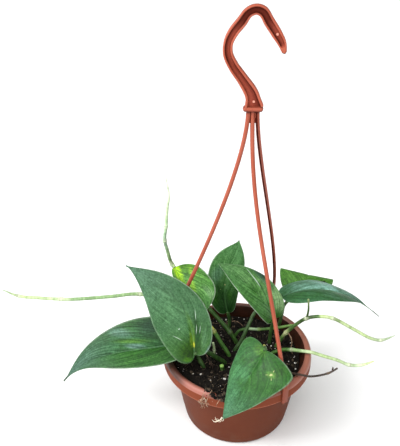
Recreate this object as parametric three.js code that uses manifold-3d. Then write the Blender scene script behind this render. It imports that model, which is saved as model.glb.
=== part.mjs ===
// A trailing aroid with heart-shaped leaves, rooted in a round plastic hanging pot with a three-arm hanger.
// Millimetres, Z up. The origin is the middle of the pot's underside, and the plant's front looks along -Y.
import * as THREE from "three";
import { mergeVertices } from "three/addons/utils/BufferGeometryUtils.js";
import Module from "manifold-3d";

const wasm = await Module();
wasm.setup();

// Driving dimensions
const GAP = 0.3;
const POT_HEIGHT = 82;
const RIM_RADIUS = 75.2;
const BASE_RADIUS = 54;
const SKIRT_BOTTOM = 68.6;
const SKIRT_INSIDE = 73.2;
const FLOOR_THICKNESS = 2;
const POT_SIDES = 36;
const DRAIN_HOLES = 6;
const DRAIN_RADIUS = 4;
const DRAIN_CIRCLE = 34;
const SOIL_LEVEL = 69.5;
const STEM_DEPTH = 9;
const FOOT_LEAN = 0.3;
const STEM_SIDES = 6;
const NODE_SWELL = 1.35;
const NODE_LENGTH = 3;
const BLADE_THICKNESS = 0.8;
const TAIL_WIDTH = 1.6;
const HOOK_DEPTH = 7;
const HOOK_FLANGE = 1.7;
const HOOK_RECESS = 2.3;
const BAR = { x: 7.9, top: 333, length: 17, height: 4.4, depth: 8 };
const ARM_THICKNESS = 1.65;
const ARM_SPACING = 3.9;
const TAB = { inside: RIM_RADIUS + GAP, thickness: 1.9, width: 6.6, top: 89, bottom: 67.1 };

const plastic = (color) => new THREE.MeshStandardMaterial({ color, roughness: 0.42, metalness: 0 });
const living = (color) => new THREE.MeshStandardMaterial({ color, roughness: 0.5, metalness: 0 });

const part = new THREE.Group();

const v3 = (p) => new THREE.Vector3(p[0], p[1], p[2]);

// Solids

// Turns a closed triangle mesh into a solid, with its faces pointing out.
function solidOf(geometry) {
  const bare = new THREE.BufferGeometry();
  bare.setAttribute("position", geometry.getAttribute("position").clone());
  if (geometry.index) bare.setIndex(geometry.index.clone());
  const merged = mergeVertices(bare, 1e-4);
  const position = merged.getAttribute("position").array;
  const index = merged.index.array;
  const kept = [];
  let volume = 0;
  for (let i = 0; i < index.length; i += 3) {
    const [a, b, c] = [index[i], index[i + 1], index[i + 2]];
    if (a === b || b === c || c === a) continue;
    kept.push(a, b, c);
    const [pa, pb, pc] = [a, b, c].map((k) => new THREE.Vector3().fromArray(position, 3 * k));
    volume += pa.dot(pb.cross(pc));
  }
  if (volume < 0) kept.reverse();
  const vertProperties = Float32Array.from(position);
  const triVerts = Uint32Array.from(kept);
  return new wasm.Manifold(new wasm.Mesh({ numProp: 3, vertProperties, triVerts }));
}

// Keeps the largest body of a solid and drops loose scraps.
function largest(solid) {
  const bodies = solid.decompose();
  return bodies.reduce((best, body) => (body.volume() > best.volume() ? body : best));
}

function geometryOf(solid) {
  const mesh = solid.getMesh();
  const geometry = new THREE.BufferGeometry();
  geometry.setAttribute("position", new THREE.BufferAttribute(new Float32Array(mesh.vertProperties), 3));
  geometry.setIndex([...mesh.triVerts]);
  geometry.computeVertexNormals();
  return geometry;
}

function addPart(name, solid, material) {
  const mesh = new THREE.Mesh(geometryOf(solid), material);
  mesh.name = name;
  part.add(mesh);
}

// A solid of revolution about the pot's axis, from [radius, height] points.
function turned(profile) {
  const points = profile.map(([r, z]) => new THREE.Vector2(r, z));
  return solidOf(new THREE.LatheGeometry(points, POT_SIDES).rotateX(Math.PI / 2));
}

// A prism of an [x, z] outline, centred on the XZ plane.
function prism(outline, depth) {
  const shape = new THREE.Shape(outline.map(([x, z]) => new THREE.Vector2(x, z)));
  const geometry = new THREE.ExtrudeGeometry(shape, { depth, bevelEnabled: false, steps: 1 });
  return geometry.rotateX(Math.PI / 2).translate(0, depth / 2, 0);
}

// A closed tube along a list of points, with one radius for each point.
function tube(path, radii, sides) {
  const positions = [];
  const index = [];
  const tangents = path.map((p, i) => {
    const next = path[Math.min(i + 1, path.length - 1)];
    return next.clone().sub(path[Math.max(i - 1, 0)]).normalize();
  });
  let across = new THREE.Vector3(0, 1, 0.2).cross(tangents[0]).normalize();
  path.forEach((p, i) => {
    across = across.clone().addScaledVector(tangents[i], -across.dot(tangents[i])).normalize();
    const up = tangents[i].clone().cross(across);
    for (let k = 0; k < sides; k += 1) {
      const turn = (2 * Math.PI * k) / sides;
      const q = p.clone().addScaledVector(across, radii[i] * Math.cos(turn));
      positions.push(...q.addScaledVector(up, radii[i] * Math.sin(turn)).toArray());
    }
  });
  for (let i = 0; i + 1 < path.length; i += 1) {
    for (let k = 0; k < sides; k += 1) {
      const a = i * sides + k;
      const b = i * sides + ((k + 1) % sides);
      index.push(a, b, b + sides, a, b + sides, a + sides);
    }
  }
  const last = (path.length - 1) * sides;
  for (let k = 1; k + 1 < sides; k += 1) {
    index.push(0, k + 1, k, last, last + k, last + k + 1);
  }
  const geometry = new THREE.BufferGeometry();
  geometry.setAttribute("position", new THREE.Float32BufferAttribute(positions, 3));
  geometry.setIndex(index);
  return geometry;
}

// Stems

// A round stem through hand-placed points. It tapers from radius[0] to radius[1], and it swells at each
// point whose number is in nodes. With grow it is thicker and longer, to cut its own hole in the soil.
function stem({ points, radius, nodes = [], nodeLength = NODE_LENGTH }, grow = 0) {
  const curve = new THREE.CatmullRomCurve3(points.map(v3), false, "centripetal");
  const spans = points.length - 1;
  const beside = nodeLength / curve.getLength();
  const stations = [];
  for (let i = 0; i <= spans; i += 1) {
    const t = i / spans;
    stations.push({ t, swell: nodes.includes(i) ? NODE_SWELL : 1 });
    if (nodes.includes(i)) stations.push({ t: t - beside, swell: 1 }, { t: t + beside, swell: 1 });
    if (i < spans) stations.push({ t: t + 0.5 / spans, swell: 1 });
  }
  const inside = stations.filter((s) => s.t >= 0 && s.t <= 1).sort((a, b) => a.t - b.t);
  const path = inside.map((s) => curve.getPoint(s.t));
  const radii = inside.map((s) => s.swell * THREE.MathUtils.lerp(radius[0], radius[1], s.t) + grow);
  if (grow > 0) {
    const down = path[0].clone().sub(path[1]).normalize();
    path[0].addScaledVector(down, grow);
  }
  return solidOf(tube(path, radii, STEM_SIDES));
}

// Adds a stem's foot below the soil: the first point given is the place where it leaves the soil.
function rooted(points) {
  const [x, y, z] = points[0];
  const [nx, ny, nz] = points[1];
  const lean = (FOOT_LEAN * STEM_DEPTH) / (nz - z);
  return [[x - (nx - x) * lean, y - (ny - y) * lean, z - STEM_DEPTH], ...points];
}

// Leaves

// Half of a leaf's outline as [sideways, along]: step 0 is the notch where the stalk joins, 1 is the tip.
// Before the tip it never gets narrower than the thin tail that such a leaf ends in.
// The heel says how far from the notch the lobe hangs lowest, as a share of the width.
function margin(step, leaf, half, length) {
  const { heel = [0.3, 0.3] } = leaf;
  const wide = leaf.wide[half];
  const lobe = leaf.lobe[half];
  const shoulder = leaf.widest * length;
  const turnAt = 0.45;
  const back = new THREE.CubicBezierCurve(
    new THREE.Vector2(0, 0),
    new THREE.Vector2(heel[half] * wide, -1.15 * lobe),
    new THREE.Vector2(wide, -0.9 * lobe),
    new THREE.Vector2(wide, shoulder),
  );
  const front = new THREE.CubicBezierCurve(
    new THREE.Vector2(wide, shoulder),
    new THREE.Vector2(wide, shoulder + 0.3 * length),
    new THREE.Vector2(leaf.drip[half] * wide, 0.86 * length),
    new THREE.Vector2(0, length),
  );
  if (step < turnAt) return back.getPoint(step / turnAt);
  const edge = front.getPoint((step - turnAt) / (1 - turnAt));
  edge.x = Math.max(edge.x, TAIL_WIDTH / 2);
  return edge;
}

// The curved sheet of a leaf: at() gives the place and the face direction of a flat [sideways, along] point.
// Left and right are as seen on the face with the tip up.
function sheet(leaf) {
  const base = v3(leaf.base);
  const tip = v3(leaf.tip);
  const length = base.distanceTo(tip);
  const axis = tip.clone().sub(base).normalize();
  const face = v3(leaf.face);
  const normal = face.addScaledVector(axis, -face.dot(axis)).normalize();
  const side = axis.clone().cross(normal);
  const bend = (along, k) =>
    base.clone().addScaledVector(axis, along * length).addScaledVector(normal, leaf.bow[k])
      .addScaledVector(side, leaf.sway[k]);
  const midrib = new THREE.CubicBezierCurve3(base, bend(0.33, 0), bend(0.7, 1), tip);
  const at = (sideways, along) => {
    const t = THREE.MathUtils.clamp(along / length, 0, 1);
    const ahead = midrib.getTangent(t);
    const up = normal.clone().addScaledVector(ahead, -normal.dot(ahead)).normalize();
    const across = ahead.clone().cross(up);
    const half = sideways < 0 ? 0 : 1;
    const fold = THREE.MathUtils.degToRad(leaf.fold[half]);
    const curl = THREE.MathUtils.degToRad(leaf.curl) / leaf.wide[half];
    const reach = Math.abs(sideways);
    const out = (Math.sin(fold) - Math.sin(fold - curl * reach)) / curl;
    const rise = (Math.cos(fold - curl * reach) - Math.cos(fold)) / curl;
    const place = midrib.getPoint(t).addScaledVector(ahead, along - t * length);
    place.addScaledVector(across, Math.sign(sideways) * out).addScaledVector(up, rise);
    const tilt = fold - curl * reach;
    const facing = up.clone().multiplyScalar(Math.cos(tilt));
    return { place, facing: facing.addScaledVector(across, -Math.sign(sideways) * Math.sin(tilt)) };
  };
  return { at, length };
}

const LEAF_ROWS = 11;
const LEAF_COLUMNS = 3;

// The blade as a thin closed shell: rows of points run from the midrib out to both edges, as the veins do.
function blade(leaf) {
  const { at, length } = sheet(leaf);
  const flat = [[[0, 0]]];
  for (let i = 1; i < LEAF_ROWS; i += 1) {
    const step = i / LEAF_ROWS;
    const start = [0, length * step ** 1.35];
    const row = [];
    for (let k = -LEAF_COLUMNS; k <= LEAF_COLUMNS; k += 1) {
      const half = k < 0 ? 0 : 1;
      const edge = margin(step, leaf, half, length);
      const share = Math.abs(k) / LEAF_COLUMNS;
      const along = THREE.MathUtils.lerp(start[1], edge.y, share);
      row.push([Math.sign(k) * edge.x * share, along]);
    }
    flat.push(row);
  }
  flat.push([[0, length]]);
  const positions = [];
  const number = flat.map((row) => row.map((p) => {
    const { place, facing } = at(p[0], p[1]);
    const top = place.clone().addScaledVector(facing, BLADE_THICKNESS / 2);
    const bottom = place.clone().addScaledVector(facing, -BLADE_THICKNESS / 2);
    positions.push(...top.toArray(), ...bottom.toArray());
    return positions.length / 3 - 2;
  }));
  const index = [];
  const face = (a, b, c) => index.push(a, b, c, a + 1, c + 1, b + 1);
  const wall = (a, b) => index.push(a, a + 1, b + 1, a, b + 1, b);
  const width = 2 * LEAF_COLUMNS;
  const [first, second] = [number[0][0], number[1]];
  const [final, before] = [number[LEAF_ROWS][0], number[LEAF_ROWS - 1]];
  for (let k = 0; k < width; k += 1) {
    face(first, second[k + 1], second[k]);
    face(before[k], before[k + 1], final);
  }
  for (let i = 1; i + 1 < LEAF_ROWS; i += 1) {
    for (let k = 0; k < width; k += 1) {
      const [a, b, c, d] = [number[i][k], number[i][k + 1], number[i + 1][k + 1], number[i + 1][k]];
      if (k < LEAF_COLUMNS) {
        face(a, b, d);
        face(b, c, d);
      } else {
        face(a, b, c);
        face(a, c, d);
      }
    }
  }
  const left = number.map((row) => row[0]);
  const right = number.map((row) => row[row.length - 1]);
  for (let i = 0; i < LEAF_ROWS; i += 1) {
    wall(left[i + 1], left[i]);
    wall(right[i], right[i + 1]);
  }
  const geometry = new THREE.BufferGeometry();
  geometry.setAttribute("position", new THREE.Float32BufferAttribute(positions, 3));
  geometry.setIndex(index);
  return solidOf(geometry);
}

// The midrib stands out under the blade and thins towards the tip.
function rib(leaf, radius) {
  const { at, length } = sheet(leaf);
  const path = [];
  const radii = [];
  for (const share of [-0.005, 0.1, 0.24, 0.4, 0.55]) {
    const { place, facing } = at(0, share * length);
    path.push(place.addScaledVector(facing, -0.5 * BLADE_THICKNESS));
    radii.push(THREE.MathUtils.lerp(radius, 0.45, share / 0.55));
  }
  return solidOf(tube(path, radii, STEM_SIDES));
}

// A whole leaf: blade, rib and the stalk that stands in the soil or grows from a runner.
function leafSolid(leaf) {
  const stalk = stem({ points: leaf.stalk, radius: leaf.stalkRadius });
  return blade(leaf).add(rib(leaf, leaf.stalkRadius[1] * 0.95)).add(stalk);
}

const LEAVES = [
  {
    name: "leaf_front_left", color: 0x3f7a46,
    base: [-41, -35.5, 98.5], tip: [-106.5, -9, 180], face: [0.06, -0.9, 0.42],
    wide: [32, 21.5], lobe: [15, 2], heel: [-0.12, 0.3], widest: 0.32, drip: [0.04, 0.04],
    bow: [-1, 2], sway: [29, 15.5], fold: [12, 16], curl: 15,
    stalk: rooted([[-12, -14, 70], [-20, -19, 81], [-29, -26, 94], [-35, -31, 99], [-41, -35.5, 98.5]]),
    stalkRadius: [2.5, 1.9],
  },
  {
    name: "leaf_left", color: 0x2f6a42,
    base: [-46.5, -14, 99], tip: [-174, -34, 54.5], face: [-0.12, -0.27, 0.95],
    wide: [22.5, 30.6], lobe: [7, 8], widest: 0.31, drip: [0, -0.2],
    bow: [10, 16], sway: [-8.5, 21], fold: [11, 44], curl: 15,
    stalk: rooted([[-33, -21, 70], [-38, -18, 79], [-43, -15, 92], [-46.5, -14, 99]]),
    stalkRadius: [2.2, 1.8],
  },
  {
    name: "leaf_upright", color: 0x35703c,
    base: [-11, 47, 88], tip: [-0.5, 45, 179.5], face: [-0.18, -0.94, 0.3],
    wide: [20, 17], lobe: [3, 3], widest: 0.46, drip: [0.4, 0.4],
    bow: [-10, -2], sway: [-19, -1], fold: [10, 13], curl: 15,
    stalk: rooted([[-9, 45, 70], [-9, 46, 79], [-11, 47, 88]]),
    stalkRadius: [1.9, 1.6],
  },
  {
    name: "leaf_centre_right", color: 0x47803f,
    base: [37, 19, 103.5], tip: [-20, 7, 175], face: [0.2, -0.83, 0.52],
    wide: [14, 18.5], lobe: [6, 5], widest: 0.34, drip: [0.36, 0.36],
    bow: [12, 0.5], sway: [9, 6], fold: [13, 13], curl: 20,
    stalk: rooted([[34, 21, 70], [35, 20.5, 86], [37, 19, 103.5]]),
    stalkRadius: [2.1, 1.7],
  },
  {
    name: "leaf_far_right", color: 0x3a6f50,
    base: [45.5, 38, 117.5], tip: [150.3, 46.6, 89.6], face: [-0.09, 0.07, 1],
    wide: [24.1, 28.8], lobe: [1.3, 2.5], widest: 0.31, drip: [-0.48, -0.48],
    bow: [25.3, 18], sway: [-10, -1.6], fold: [1, 14.4], curl: 20,
    stalk: rooted([[-2, 6, 70], [4, 10, 79], [11, 18, 93], [18, 27, 104], [30, 34, 111], [45.5, 38, 117.5]]),
    stalkRadius: [2.1, 1.7],
  },
  {
    name: "leaf_back", color: 0x3f8038,
    base: [69.5, 60.2, 102.9], tip: [77.9, 103.5, 91], face: [0.1, 0.05, 1],
    wide: [32, 27.3], lobe: [4, 4], widest: 0.48, drip: [0.3, 0.3],
    bow: [24.8, 20.9], sway: [2.2, 1.3], fold: [1.6, 1.1], curl: 2,
    stalk: rooted([
      [41, 37, 70], [45, 38, 84], [47, 40, 95], [49, 44, 102], [57, 52, 105], [69.5, 60.2, 102.9],
    ]),
    stalkRadius: [2.0, 1.6],
  },
  {
    name: "leaf_front", color: 0x3d7c40,
    base: [26, -47, 117], tip: [-11.5, -92, 73.5], face: [-0.33, -0.45, 0.83],
    wide: [36, 25], lobe: [4, 4], widest: 0.1, drip: [0.18, 0.18],
    bow: [-7, 0], sway: [4, -2.5], fold: [0.5, 2], curl: 12,
    stalk: rooted([[22, -14, 70], [23, -19, 86], [25, -30, 104], [26, -40, 114], [26, -47, 117]]),
    stalkRadius: [2.1, 1.6],
  },
];

for (const leaf of LEAVES) {
  addPart(leaf.name, leafSolid(leaf), living(leaf.color));
}

// Runners

// The runner that climbs behind the plant. Its young leaf grows from the sixth point.
const RUNNER_UP = {
  points: rooted([
    [-1, 19, 70], [-8, 22, 81], [-26, 30, 99], [-45, 36, 119], [-58, 35, 141], [-68, 33, 156],
    [-72, 31, 174], [-74, 30, 186], [-72, 29, 202], [-70, 28, 223], [-68, 27, 237], [-70, 25, 257],
  ]),
  radius: [2.3, 0.8],
  nodes: [2, 6, 8, 9],
};

const YOUNG_LEAF = {
  base: [-65, 30, 154.5], tip: [-32.5, 2, 119.5], face: [0, -0.76, 0.65],
  wide: [22.5, 8.5], lobe: [-0.5, 0.8], widest: 0.54, drip: [0.36, 0.36],
  bow: [6, 7], sway: [2, -6], fold: [2, 6], curl: 15,
  stalk: [[-68, 33, 156], [-66.5, 31.5, 155.5], [-65, 30, 154.5]],
  stalkRadius: [1.3, 1.2],
};

const RUNNERS = [
  {
    name: "runner_left", color: 0x9fbf8a, radius: [2.3, 1.2], nodes: [3, 6, 9, 11],
    points: rooted([
      [-8, -2, 70], [-16, 2, 82], [-24, 6, 94], [-36, 13, 105], [-52, 17, 116], [-99, 14, 131],
      [-129, 8, 131], [-164, 0, 132], [-176, -2, 133], [-196, -4, 135], [-217, -6, 138], [-231, -8, 146],
    ]),
  },
  {
    name: "runner_back", color: 0x5d8a45, radius: [1.6, 1.5], nodes: [4],
    points: rooted([[-3, 27, 70], [2, 28, 78], [10, 28, 81], [23, 28, 81], [44, 28, 84.5], [59, 27, 90]]),
  },
  {
    name: "runner_low", color: 0xa5c585, radius: [1.9, 0.9], nodes: [3, 8],
    points: rooted([
      [36, 3, 70], [46, 0, 78], [55, -4.5, 82.5], [64, -8, 84.5], [74, -10, 85], [86, -12.5, 83],
      [99, -14, 80], [111, -17, 77], [123, -18, 78.5], [134, -18, 84],
    ]),
  },
];

// The runner on the right carries the bare stalk of a lost leaf at its fifth point.
const RUNNER_RIGHT = {
  points: rooted([
    [41, 15, 70], [46, 13, 83], [50, 10, 93], [59, 6, 107], [68, 3, 117], [80, 0, 122],
    [92, -2, 122], [113, -5, 112], [130, -8, 104], [140, -9, 103], [152, -10, 110],
  ]),
  radius: [2.0, 0.9],
  nodes: [3, 5, 7, 10],
};
const BARE_STALK = { points: [[68, 3, 117], [69, 3, 127], [68, 3, 140]], radius: [1.1, 0.9] };

addPart("runner_up", stem(RUNNER_UP).add(leafSolid(YOUNG_LEAF)), living(0x86b35c));
for (const runner of RUNNERS) {
  addPart(runner.name, stem(runner), living(runner.color));
}
addPart("runner_right", stem(RUNNER_RIGHT).add(stem(BARE_STALK)), living(0x8fb56c));

// Short stems that end where they were cut, and a dead twig
const SHORT_STEMS = [
  {
    name: "shoot_pale", color: 0xa9bf7a, radius: [1.3, 1.1], nodes: [2], nodeLength: 1.5,
    points: rooted([[-23, -6, 70], [-23, -5.5, 80], [-24, -5, 88]]),
  },
  {
    name: "stub_cut", color: 0x7fa04c, radius: [2.3, 2.1],
    points: rooted([[-14, -23, 70], [-14.5, -23.5, 75]]),
  },
  {
    name: "stub_yellow", color: 0xc9c070, radius: [1.5, 1.4],
    points: rooted([[28, 12, 70], [28.5, 11.5, 73.5]]),
  },
  {
    name: "stem_thin", color: 0x6b5c4c, radius: [0.9, 0.7],
    points: rooted([[-24, -20, 70], [-27, -20, 77], [-30, -20, 83]]),
  },
  {
    name: "twig_dry", color: 0x5b4034, radius: [1.3, 0.6], nodes: [2], nodeLength: 1.5,
    points: rooted([
      [49, -34, 70], [52, -36.5, 80], [60, -42.5, 85], [70, -45.5, 86], [86, -46, 91.5], [94, -45, 97],
    ]),
  },
];
for (const short of SHORT_STEMS) {
  addPart(short.name, stem(short), living(short.color));
}

// Pot

// Outline of the pot's wall as [radius, height]: underside, outside, hollow skirt, rolled lip, inside.
const POT_PROFILE = [
  [0, 0], [50, 0], [53, 0.8], [BASE_RADIUS, 3],
  [57.2, 20], [60.6, 40], [63.6, 56], [65.4, 67],
  [66.6, 73], [68.4, 77.2], [72.2, 78.6], [SKIRT_INSIDE, 77.2], [SKIRT_INSIDE, SKIRT_BOTTOM],
  [RIM_RADIUS, SKIRT_BOTTOM], [RIM_RADIUS, 77.4], [74.6, 80], [73, POT_HEIGHT - 0.3], [71.4, POT_HEIGHT],
  [69.8, POT_HEIGHT - 0.5], [68.4, 80.2], [67, 77.8],
  [65, 73], [63.7, 67], [61.8, 56], [58.8, 40], [55.4, 20], [52.4, 4],
  [50.4, FLOOR_THICKNESS], [0, FLOOR_THICKNESS],
];
const INSIDE_FROM = 20;
const WALL_THICKNESS = 1.8;

// The same outline moved out of the material by a gap, so that what is cut with it keeps clear of the pot.
function grown(profile, gap) {
  return profile.map(([r, z], i) => {
    if (i === 0) return [r, z - gap];
    if (i === profile.length - 1) return [r, z + gap];
    const [pr, pz] = profile[i - 1];
    const [nr, nz] = profile[i + 1];
    const before = new THREE.Vector2(z - pz, pr - r).normalize();
    const after = new THREE.Vector2(nz - z, r - nr).normalize();
    const both = before.clone().add(after).normalize();
    const reach = gap / Math.max(both.dot(after), 0.5);
    return [r + both.x * reach, z + both.y * reach];
  });
}

function potSolid() {
  let pot = turned(POT_PROFILE);
  for (let i = 0; i < DRAIN_HOLES; i += 1) {
    const turn = (2 * Math.PI * (i + 0.5)) / DRAIN_HOLES;
    const drill = new THREE.CylinderGeometry(DRAIN_RADIUS, DRAIN_RADIUS, 4 * FLOOR_THICKNESS, 10);
    drill.rotateX(Math.PI / 2);
    drill.translate(DRAIN_CIRCLE * Math.cos(turn), DRAIN_CIRCLE * Math.sin(turn), FLOOR_THICKNESS / 2);
    pot = pot.subtract(solidOf(drill));
  }
  return pot;
}

addPart("pot", potSolid(), plastic(0xa5553f));

// Soil

const SOIL_SIDES = 30;
const SOIL_RINGS = [16, 30, 42, 53, 61];
const SOIL_EDGE = 66;
const SOIL_TOP_AT_LIP = 77;
const SOIL_FOOT = { radius: 51, height: 1.2 };

// Height of the soil: crumbly relief, and a mound that climbs to the lip at the front left.
function soilHeight(x, y) {
  const relief = 0.8 * Math.sin(0.21 * x + 1.3) * Math.cos(0.17 * y) + 0.6 * Math.sin(0.35 * y + 0.28 * x);
  const mound = 13 * Math.exp(-((x + 14) ** 2 + (y + 68) ** 2) / (2 * 13 ** 2));
  return SOIL_LEVEL + relief + mound;
}

// Radius at a height to which the soil reaches before it is cut back to the pot: half way into the wall.
function wallRadius(height) {
  const inside = POT_PROFILE.slice(INSIDE_FROM);
  const above = inside.findLastIndex(([, z]) => z >= height);
  const [upper, lower] = [inside[above], inside[above + 1]];
  const share = (upper[1] - height) / (upper[1] - lower[1]);
  return THREE.MathUtils.lerp(upper[0], lower[0], share) + WALL_THICKNESS / 2;
}

function soilBody() {
  const positions = [0, 0, soilHeight(0, 0)];
  const index = [];
  const columns = SOIL_RINGS.length + 5;
  for (let j = 0; j < SOIL_SIDES; j += 1) {
    const turn = (2 * Math.PI * j) / SOIL_SIDES;
    const put = (r, z) => positions.push(r * Math.cos(turn), r * Math.sin(turn), z);
    for (const r of SOIL_RINGS) put(r, soilHeight(r * Math.cos(turn), r * Math.sin(turn)));
    const edge = soilHeight(SOIL_EDGE * Math.cos(turn), SOIL_EDGE * Math.sin(turn));
    for (const z of [Math.min(edge, SOIL_TOP_AT_LIP), 66, 40, 10]) put(wallRadius(z), z);
    put(SOIL_FOOT.radius, SOIL_FOOT.height);
  }
  const floor = positions.length / 3;
  positions.push(0, 0, SOIL_FOOT.height);
  for (let j = 0; j < SOIL_SIDES; j += 1) {
    const a = 1 + j * columns;
    const b = 1 + ((j + 1) % SOIL_SIDES) * columns;
    index.push(0, a, b, floor, b + columns - 1, a + columns - 1);
    for (let i = 0; i + 1 < columns; i += 1) {
      index.push(a + i, a + i + 1, b + i + 1, a + i, b + i + 1, b + i);
    }
  }
  const geometry = new THREE.BufferGeometry();
  geometry.setAttribute("position", new THREE.Float32BufferAttribute(positions, 3));
  geometry.setIndex(index);
  return solidOf(geometry);
}

// Lumps of soil that have spilled over the lip at the front left, as [azimuth in degrees, radius, size].
const SPILL = [[-111, 68, 5.4], [-104, 69.6, 6.6], [-97, 70, 6.4], [-90, 69.4, 6], [-84, 68.6, 5.4]];
const SPILL_HEIGHT = 80;

function soilSolid(stems) {
  let soil = soilBody();
  for (const [azimuth, radius, size] of SPILL) {
    const turn = THREE.MathUtils.degToRad(azimuth);
    const lump = new THREE.IcosahedronGeometry(size, 1).scale(1, 0.8, 0.62);
    lump.translate(radius * Math.cos(turn), radius * Math.sin(turn), SPILL_HEIGHT);
    soil = soil.add(solidOf(lump));
  }
  soil = soil.subtract(turned(grown(POT_PROFILE, GAP)));
  for (const hole of stems) soil = soil.subtract(hole);
  return largest(soil);
}

const stalks = LEAVES.map((leaf) => ({ points: leaf.stalk, radius: leaf.stalkRadius }));
const planted = [...stalks, RUNNER_UP, ...RUNNERS, RUNNER_RIGHT, ...SHORT_STEMS];
const holes = planted.map((item) => stem({ ...item, nodes: [] }, 2 * GAP));
addPart("soil", soilSolid(holes), new THREE.MeshStandardMaterial({ color: 0x2a211c, roughness: 0.95 }));

// Hanger

// Middle line of the hook as [x, z, half width], from the bar up and over to the tip.
const HOOK_LINE = [
  [8.8, 332, 6.8], [6.4, 343, 5.6], [-1.5, 355.5, 4.4], [-8.6, 365.3, 4.1], [-13.1, 375, 3.9],
  [-12.9, 384, 3.8], [-9.2, 391.8, 4.0], [-3, 399.5, 4.1], [2, 406.2, 3.7], [7.8, 408.6, 3.7],
  [13.2, 406.8, 4.0], [18.2, 399.3, 4.2], [24, 391, 4.1], [28.6, 383.5, 3.4], [31, 376, 1.2],
];

// The hook's outline between two shares of its length, drawn in by an inset on both sides.
function hookOutline(from, to, inset) {
  const middle = new THREE.CatmullRomCurve3(HOOK_LINE.map(([x, z]) => new THREE.Vector3(x, z, 0)));
  const spans = HOOK_LINE.length - 1;
  const steps = 2 * spans;
  const left = [];
  const right = [];
  for (let i = 0; i <= steps; i += 1) {
    const t = THREE.MathUtils.lerp(from, to, i / steps);
    const cell = Math.min(Math.floor(t * spans), spans - 1);
    const half = THREE.MathUtils.lerp(HOOK_LINE[cell][2], HOOK_LINE[cell + 1][2], t * spans - cell) - inset;
    const p = middle.getPoint(t);
    const ahead = middle.getTangent(t);
    left.push([p.x - ahead.y * half, p.y + ahead.x * half]);
    right.unshift([p.x + ahead.y * half, p.y - ahead.x * half]);
  }
  return [...left, ...right];
}

function hookSolid() {
  let hook = solidOf(prism(hookOutline(0, 1, 0), HOOK_DEPTH));
  for (const face of [-1, 1]) {
    const recess = prism(hookOutline(0.02, 0.95, HOOK_FLANGE), HOOK_RECESS * 2);
    hook = hook.subtract(solidOf(recess.translate(0, (face * HOOK_DEPTH) / 2, 0)));
  }
  return hook;
}

// The bar under the hook, rounded at its ends, with the plate that joins the tops of the arms.
function barSolid() {
  const radius = BAR.height / 2;
  const middle = BAR.top - radius;
  const outline = [];
  for (const end of [1, -1]) {
    for (let i = 0; i <= 4; i += 1) {
      const turn = THREE.MathUtils.degToRad(end * 90 - i * 45);
      const x = BAR.x + end * (BAR.length / 2 - radius);
      outline.push([x + radius * Math.cos(turn), middle + radius * Math.sin(turn)]);
    }
  }
  const plate = new THREE.BoxGeometry(2 * ARM_SPACING, 1.6, 12);
  plate.translate(BAR.x, 0, BAR.top - BAR.height - 4);
  return solidOf(prism(outline, BAR.depth)).add(solidOf(plate));
}

// Each arm leaves the bar straight down and swings out to the rim at its azimuth.
const ARMS = [
  { azimuth: 178.4, place: -1, drop: 58, inward: 20, lift: 52 },
  { azimuth: -53.1, place: 0, drop: 86, inward: 38, lift: 122 },
  { azimuth: 62.7, place: 1, drop: 50, inward: -36, lift: 31 },
];

function armSolid({ azimuth, place, drop, inward, lift }) {
  const turn = THREE.MathUtils.degToRad(azimuth);
  const out = new THREE.Vector3(Math.cos(turn), Math.sin(turn), 0);
  const radius = TAB.inside + TAB.thickness / 2;
  const start = new THREE.Vector3(BAR.x + place * ARM_SPACING, 0, BAR.top - BAR.height + 1);
  const end = out.clone().multiplyScalar(radius).setZ(TAB.top - 4);
  const first = start.clone().setZ(start.z - drop);
  const second = end.clone().addScaledVector(out, -inward);
  second.z += lift;
  const path = new THREE.CubicBezierCurve3(start, first, second, end).getSpacedPoints(13);
  const arm = solidOf(tube(path, path.map(() => ARM_THICKNESS), 8));
  return arm.add(tabSolid(turn));
}

// The flat end of an arm: it lies on the skirt, turns in under it and hooks up behind it.
function tabSolid(turn) {
  const outside = TAB.inside + TAB.thickness;
  const under = SKIRT_BOTTOM - GAP;
  const behind = SKIRT_INSIDE * Math.cos(Math.PI / POT_SIDES) - 2 * GAP;
  const outline = [
    [TAB.inside, TAB.top], [outside, TAB.top], [outside, TAB.bottom], [behind - 1.6, TAB.bottom],
    [behind - 1.6, under + 3.4], [behind, under + 3.4], [behind, under], [TAB.inside, under],
  ];
  const clip = prism(outline, TAB.width);
  return solidOf(clip.rotateZ(turn));
}

const hanger = ARMS.reduce((all, arm) => all.add(armSolid(arm)), hookSolid().add(barSolid()));
addPart("hanger", hanger, plastic(0xd0694f));

export default part;
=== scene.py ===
# %% [markdown]
# # A scindapsus in a hanging pot
# The imported model holds every leaf, stem, the pot, its soil and the hanger as plain solids of the right
# size and place. This lesson puts the living surfaces on them: veined leaves, ringed stems, crumbly peat
# and moulded plastic. The solids stay as the frame, and a new piece that stands for some of them hides them.

# %% Load the imported model
import math

import bmesh
import bpy
import numpy as np
from mathutils import Matrix, Vector, noise


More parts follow.
